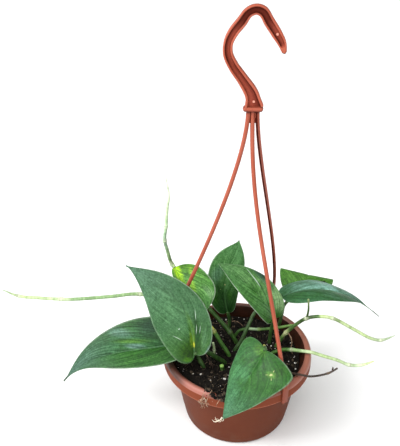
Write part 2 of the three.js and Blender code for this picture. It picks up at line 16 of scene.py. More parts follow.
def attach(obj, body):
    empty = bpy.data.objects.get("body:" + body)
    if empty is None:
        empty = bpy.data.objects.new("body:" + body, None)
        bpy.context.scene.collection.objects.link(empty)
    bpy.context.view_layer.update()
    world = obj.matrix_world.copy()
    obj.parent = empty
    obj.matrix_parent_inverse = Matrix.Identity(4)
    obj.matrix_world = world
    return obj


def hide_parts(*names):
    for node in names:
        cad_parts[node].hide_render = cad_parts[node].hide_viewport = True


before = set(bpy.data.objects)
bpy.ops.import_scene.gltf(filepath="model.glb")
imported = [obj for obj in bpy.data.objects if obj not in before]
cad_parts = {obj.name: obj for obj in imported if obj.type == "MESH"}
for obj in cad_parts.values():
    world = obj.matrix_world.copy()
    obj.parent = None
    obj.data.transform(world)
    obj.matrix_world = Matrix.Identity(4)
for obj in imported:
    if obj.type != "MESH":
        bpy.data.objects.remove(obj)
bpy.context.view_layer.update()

# %% [markdown]

# %% [markdown]
# Every size below is in millimetres, as a gardener or a mould maker would give it, and is turned into
# Blender's metres only when a mesh is made. A shape is a small dictionary of points, faces and marks. Marks
# are numbers that ride on the points, such as how far along the leaf a point lies, and the finishes read
# them to place veins and rings. They could be painted as images instead, but marks stay exact at any
# distance and need no files.

# %% Make a piece from shapes
MM = 0.001


def mesh_of(name, points, faces):
    """A mesh from points in millimetres."""
    mesh = bpy.data.meshes.new(name)
    mesh.from_pydata((MM * np.asarray(points, float)).tolist(), [], faces)
    return mesh


def placed(name, data):
    """A new object that stands in the scene."""
    made = bpy.data.objects.new(name, data)
    bpy.context.scene.collection.objects.link(made)
    return made


def piece(name, shapes, finishes, slot, nodes=()):
    """One object from several shapes. A shape's finish is its place in the list, or a place for each face."""
    points, faces, places = [], [], []
    keys = sorted({key for shape in shapes for key in shape["marks"]})
    marks = {key: [] for key in keys}
    for shape in shapes:
        start = sum(map(len, points))
        points.append(shape["points"])
        faces += [[start + k for k in face] for face in shape["faces"]]
        place = shape["finish"]
        places += place if isinstance(place, list) else [place] * len(shape["faces"])
        for key in keys:
            marks[key].append(np.broadcast_to(shape["marks"].get(key, 0.0), len(points[-1])))
    mesh = mesh_of(name, np.concatenate(points), faces)
    for key in keys:
        layer = mesh.attributes.new(key, "FLOAT", "POINT")
        layer.data.foreach_set("value", np.concatenate(marks[key]).astype(np.float32))
    for finish in finishes:
        mesh.materials.append(finish.material)
    mesh.polygons.foreach_set("material_index", places)
    mesh.shade_smooth()
    made = placed(name, mesh)
    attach(made, "root")
    if nodes:
        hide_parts(*nodes)
    print(name, len(mesh.polygons), "faces")
    return made


# %% [markdown]
# Grown surfaces and tubes are grids: rows of points with the same number of columns. One helper joins the
# rows with faces, and can close each row into a ring, as a stem or the pot's wall needs. A second one wraps
# a skin over such rings. Blender's own skin and bevel tools could do this too, but here each ring may have
# its own marks.

# %% Join a grid of points with faces
def grid_faces(rows, columns, closed=False, start=0, flip=False):
    faces = []
    for i in range(rows - 1):
        for k in range(columns if closed else columns - 1):
            a = start + i * columns + k
            b = start + i * columns + (k + 1) % columns
            face = [a, b, b + columns, a + columns]
            faces.append(face[::-1] if flip else face)
    return faces


def sweep(rings, marks, finish=0, ends=True, flip=False):
    """A skin over closed rings of points, with flat ends."""
    rings = np.asarray(rings)
    rows, sides = rings.shape[:2]
    faces = grid_faces(rows, sides, closed=True, flip=flip)
    if ends:
        first, last = list(range(sides))[::-1], [(rows - 1) * sides + k for k in range(sides)]
        faces += [first[::-1], last[::-1]] if flip else [first, last]
    return {"points": rings.reshape(-1, 3), "faces": faces, "marks": marks, "finish": finish}


def circle(sides):
    """Angles round a full turn."""
    return np.linspace(0, 2 * np.pi, sides, endpoint=False)


# %% [markdown]
# A finish is a tree of nodes. A small class gives short names to the steps that every recipe uses: sums,
# blends, fades and noises. Its colour is built up in coats, like paint. What is the same all over a surface
# is set on the shader's own sockets, so that other programs can read it.

# %% Helpers for finishes
DARKER, LIGHTER = (0.5, 0.58, 0.48), (1.46, 1.34, 1.4)


class Recipe:
    """A tree of nodes. Colours are given as red, green and blue."""

    def __init__(self, tree):
        self.tree = tree

    def feed(self, socket, value):
        """Joins a socket to another one, or sets its own value."""
        if isinstance(value, bpy.types.NodeSocket):
            self.tree.links.new(value, socket)
        else:
            socket.default_value = (*value, 1.0) if socket.type == "RGBA" else value

    def add(self, kind, inputs=None, **settings):
        node = self.tree.nodes.new("ShaderNode" + kind)
        for key, value in settings.items():
            setattr(node, key, value)
        for key, value in (inputs or {}).items():
            self.feed(node.inputs[key], value)
        return node

    def calc(self, operation, *values):
        return self.add("Math", dict(enumerate(values)), operation=operation).outputs[0]

    def mark(self, name):
        return self.add("Attribute", attribute_name=name).outputs["Fac"]

    def fade(self, value, start, end, low=0.0, high=1.0):
        """Runs smoothly from low to high as value goes from start to end. Start may be the larger."""
        inputs = {0: value, 1: start, 2: end, 3: low, 4: high}
        return self.add("MapRange", inputs, interpolation_type="SMOOTHSTEP").outputs[0]

    def mix(self, share, first, second, how="MIX"):
        return self.add("Mix", {0: share, 6: first, 7: second}, data_type="RGBA", blend_type=how).outputs[2]


class Finish(Recipe):
    """A material whose colour is built up in coats."""

    def __init__(self, name, roughness=0.5, specular=0.5):
        self.material = bpy.data.materials.new(name)
        self.material.use_nodes = True
        super().__init__(self.material.node_tree)
        self.shader = self.tree.nodes["Principled BSDF"]
        self.place = self.add("TexCoord").outputs["Object"]
        self.coat = None
        self.set("Roughness", roughness)
        self.set("Specular IOR Level", specular)

    def set(self, socket, value):
        self.feed(self.shader.inputs[socket], value)

    def axis(self, letter):
        """How far the shaded point lies along X, Y or Z, in metres."""
        return self.add("SeparateXYZ", {0: self.place}).outputs[letter]

    def speckle(self, scale, detail=3.0, roughness=0.55, place=None):
        place = self.place if place is None else place
        inputs = {"Vector": place, "Scale": scale, "Detail": detail, "Roughness": roughness}
        return self.add("TexNoise", inputs).outputs["Fac"]

    def grain(self, scales, detail):
        """Noise that is drawn out upwards."""
        stretched = self.add("VectorMath", {0: self.place, 1: scales}, operation="MULTIPLY").outputs[0]
        return self.speckle(1.0, detail, place=stretched)

    def ramp(self, value, stops):
        """Runs through colours at given places between 0 and 1."""
        node = self.add("ValToRGB", {"Fac": value})
        elements = node.color_ramp.elements
        while len(elements) < len(stops):
            elements.new(0.5)
        for element, (place, tint) in zip(elements, stops):
            element.position = place
            element.color = (*tint, 1.0)
        return node.outputs["Color"]

    def paint(self, share, tint, how="MIX"):
        """Lays one more coat over the colour so far."""
        self.coat = self.mix(share, self.coat, tint, how)
        self.set("Base Color", self.coat)

    def tones(self, value, spread, strength):
        """Darkens where a noise is below its middle, and lightens where it is above."""
        self.paint(self.fade(value, 0.5, 0.5 - spread, 0.0, strength), DARKER, "MULTIPLY")
        self.paint(self.fade(value, 0.5, 0.5 + spread, 0.0, strength), LIGHTER, "MULTIPLY")

    def relief(self, *layers):
        """Bump from layers of (height between 0 and 1, its depth in millimetres)."""
        total = 0.0
        for height, depth in layers:
            total = self.calc("MULTIPLY_ADD", height, depth, total)
        bump = self.add("Bump", {"Height": total, "Distance": MM, "Strength": 1.0})
        self.set("Normal", bump.outputs["Normal"])

    def let_light_in(self, weight, reach):
        """Lets some light wander in the surface, as far as reach in millimetres for red, green and blue."""
        self.set("Subsurface Weight", weight)
        self.set("Subsurface Radius", [MM * way for way in reach])


# %% [markdown]
# ## The leaves
# A leaf of this plant is a pointed heart. Its blade is a thin sheet that bends along the midrib, folds up a
# little on both sides of it and curls over at the edges. It could be cut from a plane and bent by hand, but
# the solids already follow a formula, so the same formula gives a finer sheet of the same form: half an
# outline from two curves, and a midrib in space that carries it.

# %% Bend a flat leaf into space
TURN_AT, TAIL_WIDTH = 0.45, 1.6
HEEL_DROP, LOBE_DROP = 1.15, 0.9
SHOULDER_PULL, TIP_PULL = 0.3, 0.86
BENDS_AT = (0.33, 0.7)


def bezier(corners, t):
    """Points and directions of a cubic curve."""
    a, b, c, d = (np.asarray(p, float) for p in corners)
    t = np.asarray(t, float)[..., None]
    place = (1 - t) ** 3 * a + 3 * (1 - t) ** 2 * t * b + 3 * (1 - t) * t**2 * c + t**3 * d
    ahead = 3 * (1 - t) ** 2 * (b - a) + 6 * (1 - t) * t * (c - b) + 3 * t**2 * (d - c)
    return place, ahead


def unit(vectors):
    return vectors / np.linalg.norm(vectors, axis=-1, keepdims=True)


def hump(distance, reach):
    """1 where the distance is 0, and soon 0 around it."""
    return np.exp(-((distance / reach) ** 2))


def half_outline(step, leaf, half, length):
    """Half of the outline as (sideways, along): step 0 is the notch at the stalk, 1 the tip."""
    wide, lobe, drip = leaf["wide"][half], leaf["lobe"][half], leaf["drip"][half]
    heel = leaf.get("heel", [0.3, 0.3])[half]
    shoulder = leaf["widest"] * length
    back = [(0, 0), (heel * wide, -HEEL_DROP * lobe), (wide, -LOBE_DROP * lobe), (wide, shoulder)]
    front = [(wide, shoulder), (wide, shoulder + SHOULDER_PULL * length), (drip * wide, TIP_PULL * length),
             (0, length)]
    first, _ = bezier(back, np.clip(step / TURN_AT, 0, 1))
    second, _ = bezier(front, np.clip((step - TURN_AT) / (1 - TURN_AT), 0, 1))
    second[..., 0] = np.maximum(second[..., 0], TAIL_WIDTH / 2)
    return np.where((step < TURN_AT)[..., None], first, second)


def leaf_length(leaf):
    return float(np.linalg.norm(np.subtract(leaf["tip"], leaf["base"])))


def on_sheet(leaf, sideways, along):
    """Place and facing of flat points, in millimetres sideways and along."""
    base, tip = np.array(leaf["base"], float), np.array(leaf["tip"], float)
    length = leaf_length(leaf)
    axis = unit(tip - base)
    normal = np.array(leaf["face"], float)
    normal = unit(normal - axis * (normal @ axis))
    side = np.cross(axis, normal)
    bends = [base + axis * share * length + normal * leaf["bow"][k] + side * leaf["sway"][k]
             for k, share in enumerate(BENDS_AT)]
    t = np.clip(along / length, 0, 1)
    place, ahead = bezier([base, *bends, tip], t)
    ahead = unit(ahead)
    up = unit(normal - ahead * (ahead @ normal)[..., None])
    across = np.cross(ahead, up)
    right = sideways >= 0
    fold = np.radians(np.where(right, leaf["fold"][1], leaf["fold"][0]))
    curl = np.radians(leaf["curl"]) / np.where(right, leaf["wide"][1], leaf["wide"][0])
    reach, sign = np.abs(sideways), np.sign(sideways)
    tilt = fold - curl * reach
    out = (np.sin(fold) - np.sin(tilt)) / curl
    rise = (np.cos(tilt) - np.cos(fold)) / curl
    place = place + ahead * (along - t * length)[..., None]
    place = place + across * (sign * out)[..., None] + up * rise[..., None]
    facing = up * np.cos(tilt)[..., None] - across * (sign * np.sin(tilt))[..., None]
    return place, facing


# %% [markdown]
# The blade gets a top and an underside a few tenths of a millimetre apart. Side veins leave the midrib at a
# narrow angle and run almost along the leaf, as in all its relatives, so a single number, the vein mark,
# tells which vein a point lies on. The same number raises the soft ridges between the veins, so they catch
# the light as real relief. The midrib lies in a shallow valley on top and stands out as a rib below.

# %% Build a blade with veins
BLADE_ROWS, BLADE_COLUMNS = 84, 22
ROWS_CROWD, COLUMNS_CROWD = 1.35, 1.3
BLADE_THICKNESS, EDGE_RIPPLE = 0.5, 0.5
VEIN_SPACING, VEIN_SLANT = 0.075, 0.8
VALLEY_DEPTH, VALLEY_HALF = 0.9, 3.6
RIB_DEPTH, RIB_HALF, RIB_BELOW = 0.4, 1.0, 1.2


def flat_blade(leaf, length):
    """Sideways and along of the blade's points, and how near the margin they lie."""
    steps = np.linspace(0.004, 0.996, BLADE_ROWS)[:, None]
    shares = np.linspace(-1, 1, 2 * BLADE_COLUMNS + 1)[None, :]
    shares = np.sign(shares) * np.abs(shares) ** COLUMNS_CROWD
    start = length * steps**ROWS_CROWD
    sideways, along = np.zeros((2, BLADE_ROWS, shares.size))
    for half, chosen in enumerate((shares < 0, shares >= 0)):
        edge = half_outline(steps[:, 0], leaf, half, length)
        where = np.broadcast_to(chosen, sideways.shape)
        sideways = np.where(where, shares * edge[:, None, 0], sideways)
        along = np.where(where, start + (edge[:, None, 1] - start) * np.abs(shares), along)
    return sideways, along, np.broadcast_to(np.abs(shares), sideways.shape)


def blade_relief(leaf, seed, sideways, ahead, reach, vein):
    """How far the sheet rises in ridges, sinks along the midrib and ripples at its edge."""
    calm = np.clip(1 - ahead**6, 0, 1) * np.clip(1 - reach**8, 0, 1)
    wave = 2 * np.pi * vein / VEIN_SPACING
    uneven = 0.6 * np.cos(wave) * (1 + 0.6 * np.sin(0.23 * wave + 5 * seed))
    uneven = uneven + 0.4 * np.cos(0.37 * wave + 2 * seed)
    open_end = np.clip(1.1 - ahead, 0, 1)
    channel = -RIB_DEPTH * open_end * hump(sideways, RIB_HALF)
    valley = open_end**2 * np.clip(6 * ahead, 0, 1) * hump(sideways, VALLEY_HALF)
    ripple = EDGE_RIPPLE * reach**3 * np.sin(2 * np.pi * (2.4 * ahead + seed))
    return -leaf["ridge"] * calm * uneven + channel - VALLEY_DEPTH * valley + ripple


def blade_shape(leaf, seed):
    length = leaf_length(leaf)
    sideways, along, reach = flat_blade(leaf, length)
    ahead = along / length
    vein = ahead - VEIN_SLANT * reach**1.1
    vein = vein + 0.016 * np.sin(19 * vein + 6 * seed) + 0.008 * np.sin(47 * vein + 2 * seed)
    place, facing = on_sheet(leaf, sideways, along)
    lift = blade_relief(leaf, seed, sideways, ahead, reach, vein)
    half = BLADE_THICKNESS / 2 * (1 - 0.6 * reach**6)
    rib = hump(sideways, 0.8 * RIB_HALF) * np.clip(1 - ahead, 0.1, 1)
    top = place + facing * (half + lift)[..., None]
    under = place - facing * (half - lift + RIB_BELOW * rib)[..., None]
    rows, columns = sideways.shape
    count = rows * columns
    faces = grid_faces(rows, columns, flip=True) + grid_faces(rows, columns, start=count)
    rim = [i * columns for i in range(rows)]
    rim += [(rows - 1) * columns + k for k in range(1, columns)]
    rim += [i * columns + columns - 1 for i in range(rows - 2, -1, -1)]
    rim += list(range(columns - 2, 0, -1))
    for a, b in zip(rim, rim[1:] + rim[:1]):
        faces.append([b, a, a + count, b + count])
    marks = {"share": reach, "along": ahead, "vein": vein, "side_mm": sideways, "along_mm": along}
    marks = {key: np.tile(values.ravel(), 2) for key, values in marks.items()}
    marks["under"] = np.repeat([0.0, 1.0], count)
    points = np.concatenate([top.reshape(-1, 3), under.reshape(-1, 3)])
    return {"points": points, "faces": faces, "marks": marks, "finish": 0}


# %% [markdown]
# A leaf's skin is green in more than one tone: dark near the stalk, and on most leaves bluer and lighter
# towards the tip, with clouds and fine strands along the veins. Parts of the margin are pale. The top is
# waxy with a low sheen, the underside pale and dull. Ovals on the flat leaf, given by their middle, half
# length, half width and angle in millimetres and degrees, stand for what is special to one leaf. Glows are
# broad soft patches of another green, and on some leaves painted light: the shadow of a leaf in front, shade
# in a crease, a pale patch of light or a bluish sheen. Spots are ragged scars, and a dark spot painted where
# a hole lets shade through. Streaks are fine lines that stand up a little and carry a painted highlight. A
# photograph wrapped on the blade would be quicker, but it would carry its light and shadows with it.

# %% A recipe for leaf skin
UNDERSIDE, MARGIN_PALE, PAINTED_GLINT = (0.14, 0.26, 0.11), (0.42, 0.52, 0.4), (0.52, 0.66, 0.54)


def leaf_skin(name, base, deep, fresh, pale, tip, right=None, gloss=0.3, veins=0.5, dark_base=0.34, sheen=0.2,
              margin=(0.3, 0.3), tints_and_painted_light=(), spots=(), streaks=()):
    skin = Finish(name, specular=sheen)
    fade = skin.fade
    share, along, side, under = (skin.mark(key) for key in ("share", "along", "side_mm", "under"))
    clouds, mottle, flecks = skin.speckle(45, 4), skin.speckle(300, 3, 0.6), skin.speckle(620, 2)
    wobble = skin.calc("MULTIPLY_ADD", skin.speckle(30, 2), 0.03, skin.mark("vein"))

    def strand(across, length, detail=3.0):
        """Noise that is drawn out along the veins."""
        spot = {"X": skin.calc("MULTIPLY", wobble, across), "Y": skin.calc("MULTIPLY", along, length)}
        return skin.speckle(1.0, detail, 0.6, skin.add("CombineXYZ", spot).outputs[0])

    def oval(middle, half_length, half_width, angle):
        """0 at the middle of an oval on the flat leaf, 1 on its edge."""
        flat = skin.add("CombineXYZ", {"X": side, "Y": skin.mark("along_mm")}).outputs[0]
        settings = {"Vector": flat, "Location": (*middle, 0), "Rotation": (0, 0, math.radians(angle)),
                    "Scale": (half_length, half_width, 1)}
        local = skin.add("Mapping", settings, vector_type="TEXTURE").outputs[0]
        return skin.add("VectorMath", {0: local}, operation="LENGTH").outputs["Value"]

    streak, band = strand(44.0, 4.0), strand(13.0, 1.2, 2.0)
    rib = skin.calc("DIVIDE", skin.calc("ABSOLUTE", side), skin.calc("SUBTRACT", 1.25, along))
    body = skin.mix(fade(side, -1.5, 1.5), fresh, right or fresh)

    skin.coat = skin.mix(0.35, UNDERSIDE, body)
    skin.tones(band, 0.14, 0.45)
    skin.tones(mottle, 0.18, 0.5)
    skin.paint(fade(rib, 1.2, 0.4, 0.0, 0.5), pale)
    dull_side = skin.coat

    skin.coat = skin.mix(fade(clouds, 0.3, 0.62), deep, body)
    skin.paint(fade(along, 0.4, 1.0, 0.0, 0.85), tip)
    skin.paint(fade(along, dark_base, -0.04, 0.0, 0.92), base)
    skin.paint(fade(share, 0.6, 0.98, 0.0, 0.35), deep)
    # These ovals paint tints of green, and on some leaves painted shadow, shade, light or sheen.
    for *shape, tint, strength in tints_and_painted_light:
        skin.paint(fade(oval(*shape), 1.15, 0.2, 0.0, strength), tint)
    skin.tones(band, 0.12, 0.9 * veins)
    skin.tones(streak, 0.11, 0.3 + 0.5 * veins)
    skin.tones(mottle, 0.18, 0.55)
    skin.tones(flecks, 0.18, 0.6)
    skin.paint(skin.calc("MULTIPLY", fade(rib, 0.8, 0.3), fade(along, 0.75, 0.1, 0.0, 0.3)), pale)
    for *shape, tint in spots:
        ragged = skin.calc("MULTIPLY_ADD", skin.speckle(700, 3), 1.4, oval(*shape))
        skin.paint(fade(ragged, 1.6, 1.0), tint)
    # Streaks stand up a little and carry a painted highlight.
    lines = [oval(*shape) for shape in streaks]
    for line in lines:
        skin.paint(fade(line, 1.1, 0.3, 0.0, 0.7), PAINTED_GLINT)
    edge = skin.calc("MULTIPLY", fade(side, -0.5, 0.5, *margin), fade(mottle, 0.3, 0.6, 0.55, 1.0))
    skin.paint(skin.calc("MULTIPLY", edge, fade(share, 0.94, 0.98)), MARGIN_PALE)
    skin.paint(under, dull_side)

    shine = fade(skin.speckle(90, 4), 0.3, 0.7, gloss, gloss + 0.14)
    skin.set("Roughness", skin.calc("MULTIPLY_ADD", under, 0.25, shine))
    skin.relief((streak, 0.1), (band, 0.5 * veins), (mottle, 0.06), (clouds, 0.35),
                *[(fade(line, 1.2, 0.0), 0.25) for line in lines])
    skin.let_light_in(0.05, (0.8, 1.6, 0.5))
    return skin


# %% [markdown]
# ## Stems
# Stalks, runners and dead ends are all round and grow through a few points. A curve object with a bevel
# would be quick, but a stem also thickens at each joint and carries a ring there, where a leaf once sat. So
# each stem is a tube of rings, one for every millimetre or less, and each ring has its own radius and knows
# how near a joint is.

# %% Grow a stem through its points
STEM_SIDES, RING_STEP, END_BULGE = 14, 0.8, 0.3
STEM_DEPTH, FOOT_LEAN = 9, 0.3
JOINT_SWELL, JOINT_REACH = 0.35, 1.9
SCAR_DIP, SCAR_AT, SCAR_REACH = 0.14, 0.9, 0.55
KNEE_AT, KNEE_REACH, TIP_LOSS = 3, 4, 0.7
COARSE_STEPS, FEWEST_RINGS = 400, 6


def rooted(points):
    """Adds the foot that stands in the soil."""
    first, second = np.array(points[0], float), np.array(points[1], float)
    lean = FOOT_LEAN * STEM_DEPTH / (second[2] - first[2])
    foot = first - (second - first) * lean
    return [[foot[0], foot[1], first[2] - STEM_DEPTH], *points]


def smooth_path(points, t):
    """A centripetal curve through the points; t runs from 0 to 1, the same share for each span."""
    points = np.array(points, float)
    points = np.concatenate([[2 * points[0] - points[1]], points, [2 * points[-1] - points[-2]]])
    spans = len(points) - 3
    cell = np.minimum((t * spans).astype(int), spans - 1)
    weight = (t * spans - cell)[:, None]
    p0, p1, p2, p3 = (points[cell + k] for k in range(4))
    steps = (p1 - p0, p2 - p1, p3 - p2)
    d0, d1, d2 = (np.sqrt(np.linalg.norm(step, axis=1, keepdims=True)) for step in steps)
    m1 = ((p1 - p0) / d0 - (p2 - p0) / (d0 + d1) + (p2 - p1) / d1) * d1
    m2 = ((p2 - p1) / d1 - (p3 - p1) / (d1 + d2) + (p3 - p2) / d2) * d1
    w2, w3 = weight**2, weight**3
    return p1 + m1 * weight + (3 * (p2 - p1) - 2 * m1 - m2) * w2 + (2 * (p1 - p2) + m1 + m2) * w3


def tube_shape(path, radii, marks=None, sides=STEM_SIDES, finish=0):
    """Rings round a path, with rounded ends."""
    path = np.asarray(path, float)
    rows = len(path)
    radii = np.broadcast_to(radii, rows).astype(float)
    ahead = unit(np.gradient(path, axis=0))
    across = unit(np.cross([0.0, 1.0, 0.2], ahead[0]))
    turn = circle(sides)[:, None]
    rings = []
    for place, radius, forward in zip(path, radii, ahead):
        across = unit(across - forward * (across @ forward))
        up = np.cross(forward, across)
        rings.append(place + radius * (across * np.cos(turn) + up * np.sin(turn)))
    tube = sweep(rings, {}, finish, ends=False)
    bulges = [path[0] - ahead[0] * radii[0] * END_BULGE, path[-1] + ahead[-1] * radii[-1] * END_BULGE]
    tube["points"] = np.concatenate([tube["points"], bulges])
    first, last, top = rows * sides, rows * sides + 1, (rows - 1) * sides
    for k in range(sides):
        after = (k + 1) % sides
        tube["faces"] += [[first, after, k], [last, top + k, top + after]]
    for key, values in (marks or {}).items():
        values = np.broadcast_to(values, rows)
        tube["marks"][key] = np.concatenate([np.repeat(values, sides), [values[0], values[-1]]])
    return tube


def stem_shape(points, radius, nodes=(), sharp=0.0, knee=0.0, finish=0):
    """A stem with joints at the numbered points. Sharp is the share of its length that narrows to a tip."""
    coarse = smooth_path(points, np.linspace(0, 1, COARSE_STEPS))
    length = float(np.linalg.norm(np.diff(coarse, axis=0), axis=1).sum())
    t = np.linspace(0, 1, max(int(length / RING_STEP), FEWEST_RINGS))
    path = smooth_path(points, t)
    run = np.concatenate([[0], np.cumsum(np.linalg.norm(np.diff(path, axis=0), axis=1))])
    near, ring = np.zeros((2, len(t)))
    for k in nodes:
        joint = run[int(round(k / (len(points) - 1) * (len(t) - 1)))]
        near = np.maximum(near, hump(run - joint, JOINT_REACH))
        ring = np.maximum(ring, hump(run - joint - SCAR_AT, SCAR_REACH))
    radii = (radius[0] + (radius[1] - radius[0]) * t) * (1 + JOINT_SWELL * near - SCAR_DIP * ring)
    radii = radii * (1 + knee * hump(run - run[-1] + KNEE_AT, KNEE_REACH))
    if sharp:
        radii = radii * (1 - TIP_LOSS * np.clip((t - 1 + sharp) / sharp, 0, 1) ** 1.5)
    return tube_shape(path, radii, {"t": t, "run": run, "near": near, "ring": ring}, finish=finish)


# %% [markdown]
# Stem skin changes colour from the soil to the tip: dark green where it is old, and almost white on the
# youngest shoots, because they grew in poor light. One row of colours along the stem gives that, so each
# stem keeps its own story. Fine lengthwise streaks break it up. Each joint is paler, but darker near the
# soil, and the ring on it is brown or dark green. The underside is painted a little darker all along, as
# shade.

# %% A recipe for stem skin
def stem_skin(name, stops, joint, old_joint=(0.1, 0.13, 0.05), ring=(0.12, 0.09, 0.04), roughness=0.42):
    skin = Finish(name, roughness, specular=0.35)
    fade, t = skin.fade, skin.mark("t")
    streak = skin.grain((420, 420, 45), 3)
    patch = skin.speckle(0.11, 2, place=skin.add("CombineXYZ", {"X": skin.mark("run")}).outputs[0])
    joint = skin.mix(fade(t, 0.2, 0.42), old_joint, joint)
    skin.coat = skin.ramp(t, stops)
    skin.paint(fade(streak, 0.45, 0.75, 0.0, 0.22), joint)
    skin.paint(fade(streak, 0.5, 0.3, 0.0, 0.7), DARKER, "MULTIPLY")
    skin.paint(fade(patch, 0.6, 0.35, 0.0, 0.7), DARKER, "MULTIPLY")
    skin.paint(skin.calc("MULTIPLY", skin.mark("near"), 0.75), joint)
    skin.paint(skin.calc("MULTIPLY", skin.mark("ring"), 0.6), ring)
    # Painted shade: darker where the surface faces down.
    up = skin.add("SeparateXYZ", {0: skin.add("NewGeometry").outputs["Normal"]}).outputs["Z"]
    skin.paint(fade(up, 0.25, -0.5, 0.0, 0.75), DARKER, "MULTIPLY")
    skin.relief((streak, 0.12))
    skin.let_light_in(0.06, (1.2, 1.8, 0.6))
    return skin


OLD_GREEN, MID_GREEN, OLIVE = (0.03, 0.085, 0.012), (0.055, 0.15, 0.022), (0.04, 0.085, 0.015)
PALE_GREEN, WHITISH = (0.44, 0.6, 0.26), (0.66, 0.76, 0.46)
JOINT_GREEN, JOINT_WHITE = (0.26, 0.4, 0.12), (0.7, 0.78, 0.55)
STRAW, WOOD = (0.72, 0.68, 0.12), (0.13, 0.09, 0.065)

stalk_green = stem_skin("stalk_green", [
    (0.0, OLD_GREEN), (0.5, (0.034, 0.085, 0.018)), (1.0, (0.045, 0.11, 0.026)),
], JOINT_GREEN)
dead_brown = stem_skin("dead_brown", [
    (0.0, (0.03, 0.016, 0.01)), (0.5, (0.07, 0.04, 0.03)), (0.7, (0.04, 0.026, 0.02)),
    (1.0, (0.05, 0.034, 0.028)),
], WOOD, old_joint=WOOD, roughness=0.75)
stub_green = stem_skin("stub_green", [
    (0.0, OLD_GREEN), (0.92, MID_GREEN), (1.0, (0.3, 0.55, 0.12)),
], JOINT_GREEN)
stub_yellow = stem_skin("stub_yellow", [(0.0, PALE_GREEN), (1.0, (0.5, 0.5, 0.12))], JOINT_WHITE)
shoot_white = stem_skin("shoot_white", [
    (0.0, (0.24, 0.36, 0.12)), (0.6, PALE_GREEN), (1.0, WHITISH),
], JOINT_WHITE)
climber = stem_skin("climber", [
    (0.0, OLD_GREEN), (0.47, MID_GREEN), (0.495, (0.55, 0.66, 0.42)), (0.515, (0.42, 0.5, 0.3)),
    (0.53, (0.2, 0.31, 0.12)), (0.57, (0.38, 0.54, 0.28)), (0.64, (0.26, 0.4, 0.26)),
    (0.71, (0.38, 0.54, 0.36)), (0.77, (0.58, 0.78, 0.46)), (0.82, (0.72, 0.88, 0.56)),
    (1.0, (0.9, 0.92, 0.8)),
], JOINT_WHITE, ring=(0.05, 0.13, 0.05))
far_reacher = stem_skin("far_reacher", [
    (0.0, MID_GREEN), (0.235, (0.07, 0.19, 0.03)), (0.25, STRAW), (0.28, STRAW), (0.31, (0.09, 0.22, 0.03)),
    (0.36, (0.3, 0.46, 0.19)), (0.672, (0.27, 0.43, 0.19)), (0.69, (0.56, 0.68, 0.4)),
    (0.9, (0.54, 0.66, 0.33)), (1.0, (0.4, 0.5, 0.32)),
], JOINT_WHITE, old_joint=(0.12, 0.19, 0.05))
creeper = stem_skin("creeper", [
    (0.0, OLD_GREEN), (0.5, MID_GREEN), (0.52, (0.38, 0.54, 0.3)), (0.64, (0.42, 0.58, 0.34)),
    (0.66, (0.07, 0.17, 0.035)), (1.0, (0.2, 0.38, 0.08)),
], JOINT_GREEN)
low_reacher = stem_skin("low_reacher", [
    (0.0, OLD_GREEN), (0.25, MID_GREEN), (0.36, (0.3, 0.48, 0.18)), (0.44, (0.58, 0.72, 0.42)),
    (0.6, (0.5, 0.64, 0.3)), (0.74, (0.4, 0.52, 0.27)), (0.87, (0.62, 0.74, 0.48)),
    (1.0, (0.7, 0.76, 0.34)),
], JOINT_WHITE)
right_reacher = stem_skin("right_reacher", [
    (0.0, OLD_GREEN), (0.2, MID_GREEN), (0.27, (0.6, 0.62, 0.3)), (0.31, (0.075, 0.16, 0.035)),
    (0.5, OLIVE), (0.54, MID_GREEN), (0.556, (0.5, 0.62, 0.28)), (0.61, (0.5, 0.6, 0.3)),
    (0.64, (0.34, 0.44, 0.19)), (0.7, (0.46, 0.58, 0.28)), (0.79, (0.5, 0.62, 0.3)),
    (0.86, (0.38, 0.48, 0.27)), (1.0, (0.4, 0.5, 0.34)),
], JOINT_WHITE, old_joint=(0.5, 0.55, 0.25))
bare_olive = stem_skin("bare_olive", [(0.0, OLIVE), (0.7, OLIVE), (1.0, (0.35, 0.42, 0.2))], JOINT_GREEN)

# %% [markdown]
# Seven leaves rise from the soil on stalks of their own. Each entry repeats the driving values of its
# solid, and adds what only the eye needs: its greens, its gloss, its soft patches of tint and of painted
# light, and its scars. They could be seven sculpted meshes, but then a change to the formula would not
# reach them all.

# %% The leaves' own values
YELLOW, YELLOW_GREEN = (0.42, 0.42, 0.03), (0.1, 0.24, 0.012)
MID_LEAF, PAINTED_CREASE_SHADE, PAINTED_SHEEN = (0.07, 0.17, 0.075), (0.008, 0.045, 0.006), (0.16, 0.28, 0.26)
SCAR, HOLE_SHADE = (0.45, 0.48, 0.2), (0.012, 0.014, 0.008)

